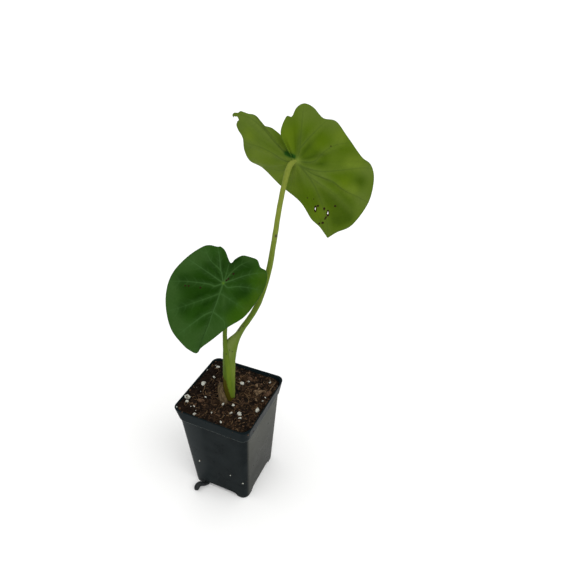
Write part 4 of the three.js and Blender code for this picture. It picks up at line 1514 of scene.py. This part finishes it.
# Making
make_camera()
make_pot(moulded_polypropylene())
PEAT = peat()
PERLITE = expanded_perlite()
BARK = plain_fibre("bark_chip_aged", "#2b1d13", "#5a4330", 1.5, 0.8)
COIR = plain_fibre("coir_fibre", "#4a3623", "#7d6446", 4, 0.75)
HUSK = plain_fibre("coir_husk", "#3c2d1f", "#77634b", 0.9, 0.8)
ground, middle_ground = make_bed(PEAT)
make_grains(PERLITE, BARK)
make_chips(BARK, HUSK)
make_stuck_crumbs(BARK, PERLITE)
CRUMBS = strewing_tree("crumbs_on_soil", False)
FIBRES = strewing_tree("fibres_on_soil", True)
strew("peat_crumbs", ground, CRUMBS, 330000, 0.5, 2.1, 3, PEAT)
strew("perlite_bits", ground, CRUMBS, 10000, 0.4, 1.1, 11, PERLITE)
strew("bark_bits", ground, CRUMBS, 22000, 0.7, 2.2, 23, BARK)
strew("coir_fibres", middle_ground, FIBRES, 70000, 2, 5, 5, COIR)
bpy.data.objects.remove(ground)
bpy.data.objects.remove(middle_ground)

make_dried_base(dry_sheath())
make_root(plain_fibre("root_skin_damp", "#15181a", "#2c2f2f", 3, 0.55))

# Each side of the leaves: tones, shares of haze, net, side and main veins, roughness and relief
LEAF_SIDES = {
    "leaf_upper_side_young": (
        "#425c14 #385208 #4c6614 #465e21 #314a06 #506a1a "
        "#3f5a0c #6d8434 #1f4410 #6d8440 #5f7634 #56682f",
        0.3, 0.12, 0.25, 0.5, 0.42, 0.12,
    ),
    # Its main veins are darker than the blade: painted shadow along the raised ribs
    "leaf_underside_young": (
        "#4e6218 #465d06 #53680e #536524 #374c08 #5e711f "
        "#4b6208 #6a7b30 #1f4410 #394c18 #5b6c29 #455c1c",
        0.45, 0.1, 0.15, 0.6, 0.5, 0.12,
    ),
    "leaf_upper_side_old": (
        "#1f4009 #163204 #2d4e07 #2f4b1e #0f2b01 #35510b "
        "#1b3a06 #47681a #163204 #3f6030 #304d22 #2c4820",
        0.4, 0.12, 0.2, 0.6, 0.4, 0.12,
    ),
    "leaf_underside_old": (
        "#4a6830 #466327 #546f33 #587040 #426026 #5a7538 "
        "#48652b #6c8442 #466327 #748c55 #5c7645 #4c6a34",
        0.4, 0.2, 0.3, 0.7, 0.55, 0.15,
    ),
}
SKINS = [leaf_skin(name, *how) for name, how in LEAF_SIDES.items()]
# Holes and notches are x, y and half sizes, specks x, y and radius, all in the blade's own frame
UPPER_BITES = [(12.8, -33.9, 0.32, 1), (21.1, -37.5, 0.38, 1.1)]
UPPER_SPECKS = [
    (14.4, -31.7, 0.65), (18.6, -33.8, 0.7), (25.6, -32, 0.65), (18, -44.9, 0.75),
    (15.7, -45.3, 0.55), (7.5, -25.6, 0.35), (11.5, -26.6, 0.3), (19.4, -41.9, 0.5),
    (20, -40.6, 0.55), (21.1, 7.8, 0.3), (26.4, -37.2, 0.15), (28, -41.5, 0.15),
    (25.4, -44.5, 0.15), (27.7, -47.5, 0.15), (25.6, -52.7, 0.15), (18.4, -35, 0.3),
    (13, -35.4, 0.2), (21.6, -39.2, 0.3),
]
UPPER_NOTCHES = [(-38.5, 14.9, 2, 1.4)]
LOWER_SPECKS = [
    (3.3, 2.8, 0.5), (2, 1.8, 0.5), (6.6, 5.9, 0.55), (-24.1, -1.7, 0.45), (-21.9, -1.8, 0.45),
    (-14.5, -2.9, 0.5),
]
upper_blade, upper_leaf = make_blade(
    "upper_blade", UPPER_BLADE, UPPER_VEINS, UPPER_PATCHES, "light_leaf", SKINS[:2], UPPER_BITES,
    UPPER_SPECKS, UPPER_NOTCHES)
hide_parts("upper_leaf_blade")
lower_blade, lower_leaf = make_blade(
    "lower_blade", LOWER_BLADE, LOWER_VEINS, LOWER_PATCHES, "dark_leaf", SKINS[2:], specks=LOWER_SPECKS)
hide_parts("lower_leaf_blade")

upper_stalk = make_stalk(
    "upper_stalk", UPPER_STALK, 300, upper_leaf, "pale_stalk",
    stalk_skin("stalk_skin_young", "#576b20", "#747e31"), winged=True)
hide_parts("upper_petiole")
lower_stalk = make_stalk(
    "lower_stalk", LOWER_STALK, 220, lower_leaf, "green_stalk",
    stalk_skin("stalk_skin_old", "#53671c", "#566b24"))
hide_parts("lower_petiole")

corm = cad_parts["corm"]
corm.data.materials.clear()
corm.data.materials.append(plain_fibre("corm_skin", "#4f3a26", "#77603f", 2.5, 0.8))

make_floor()
light_room()
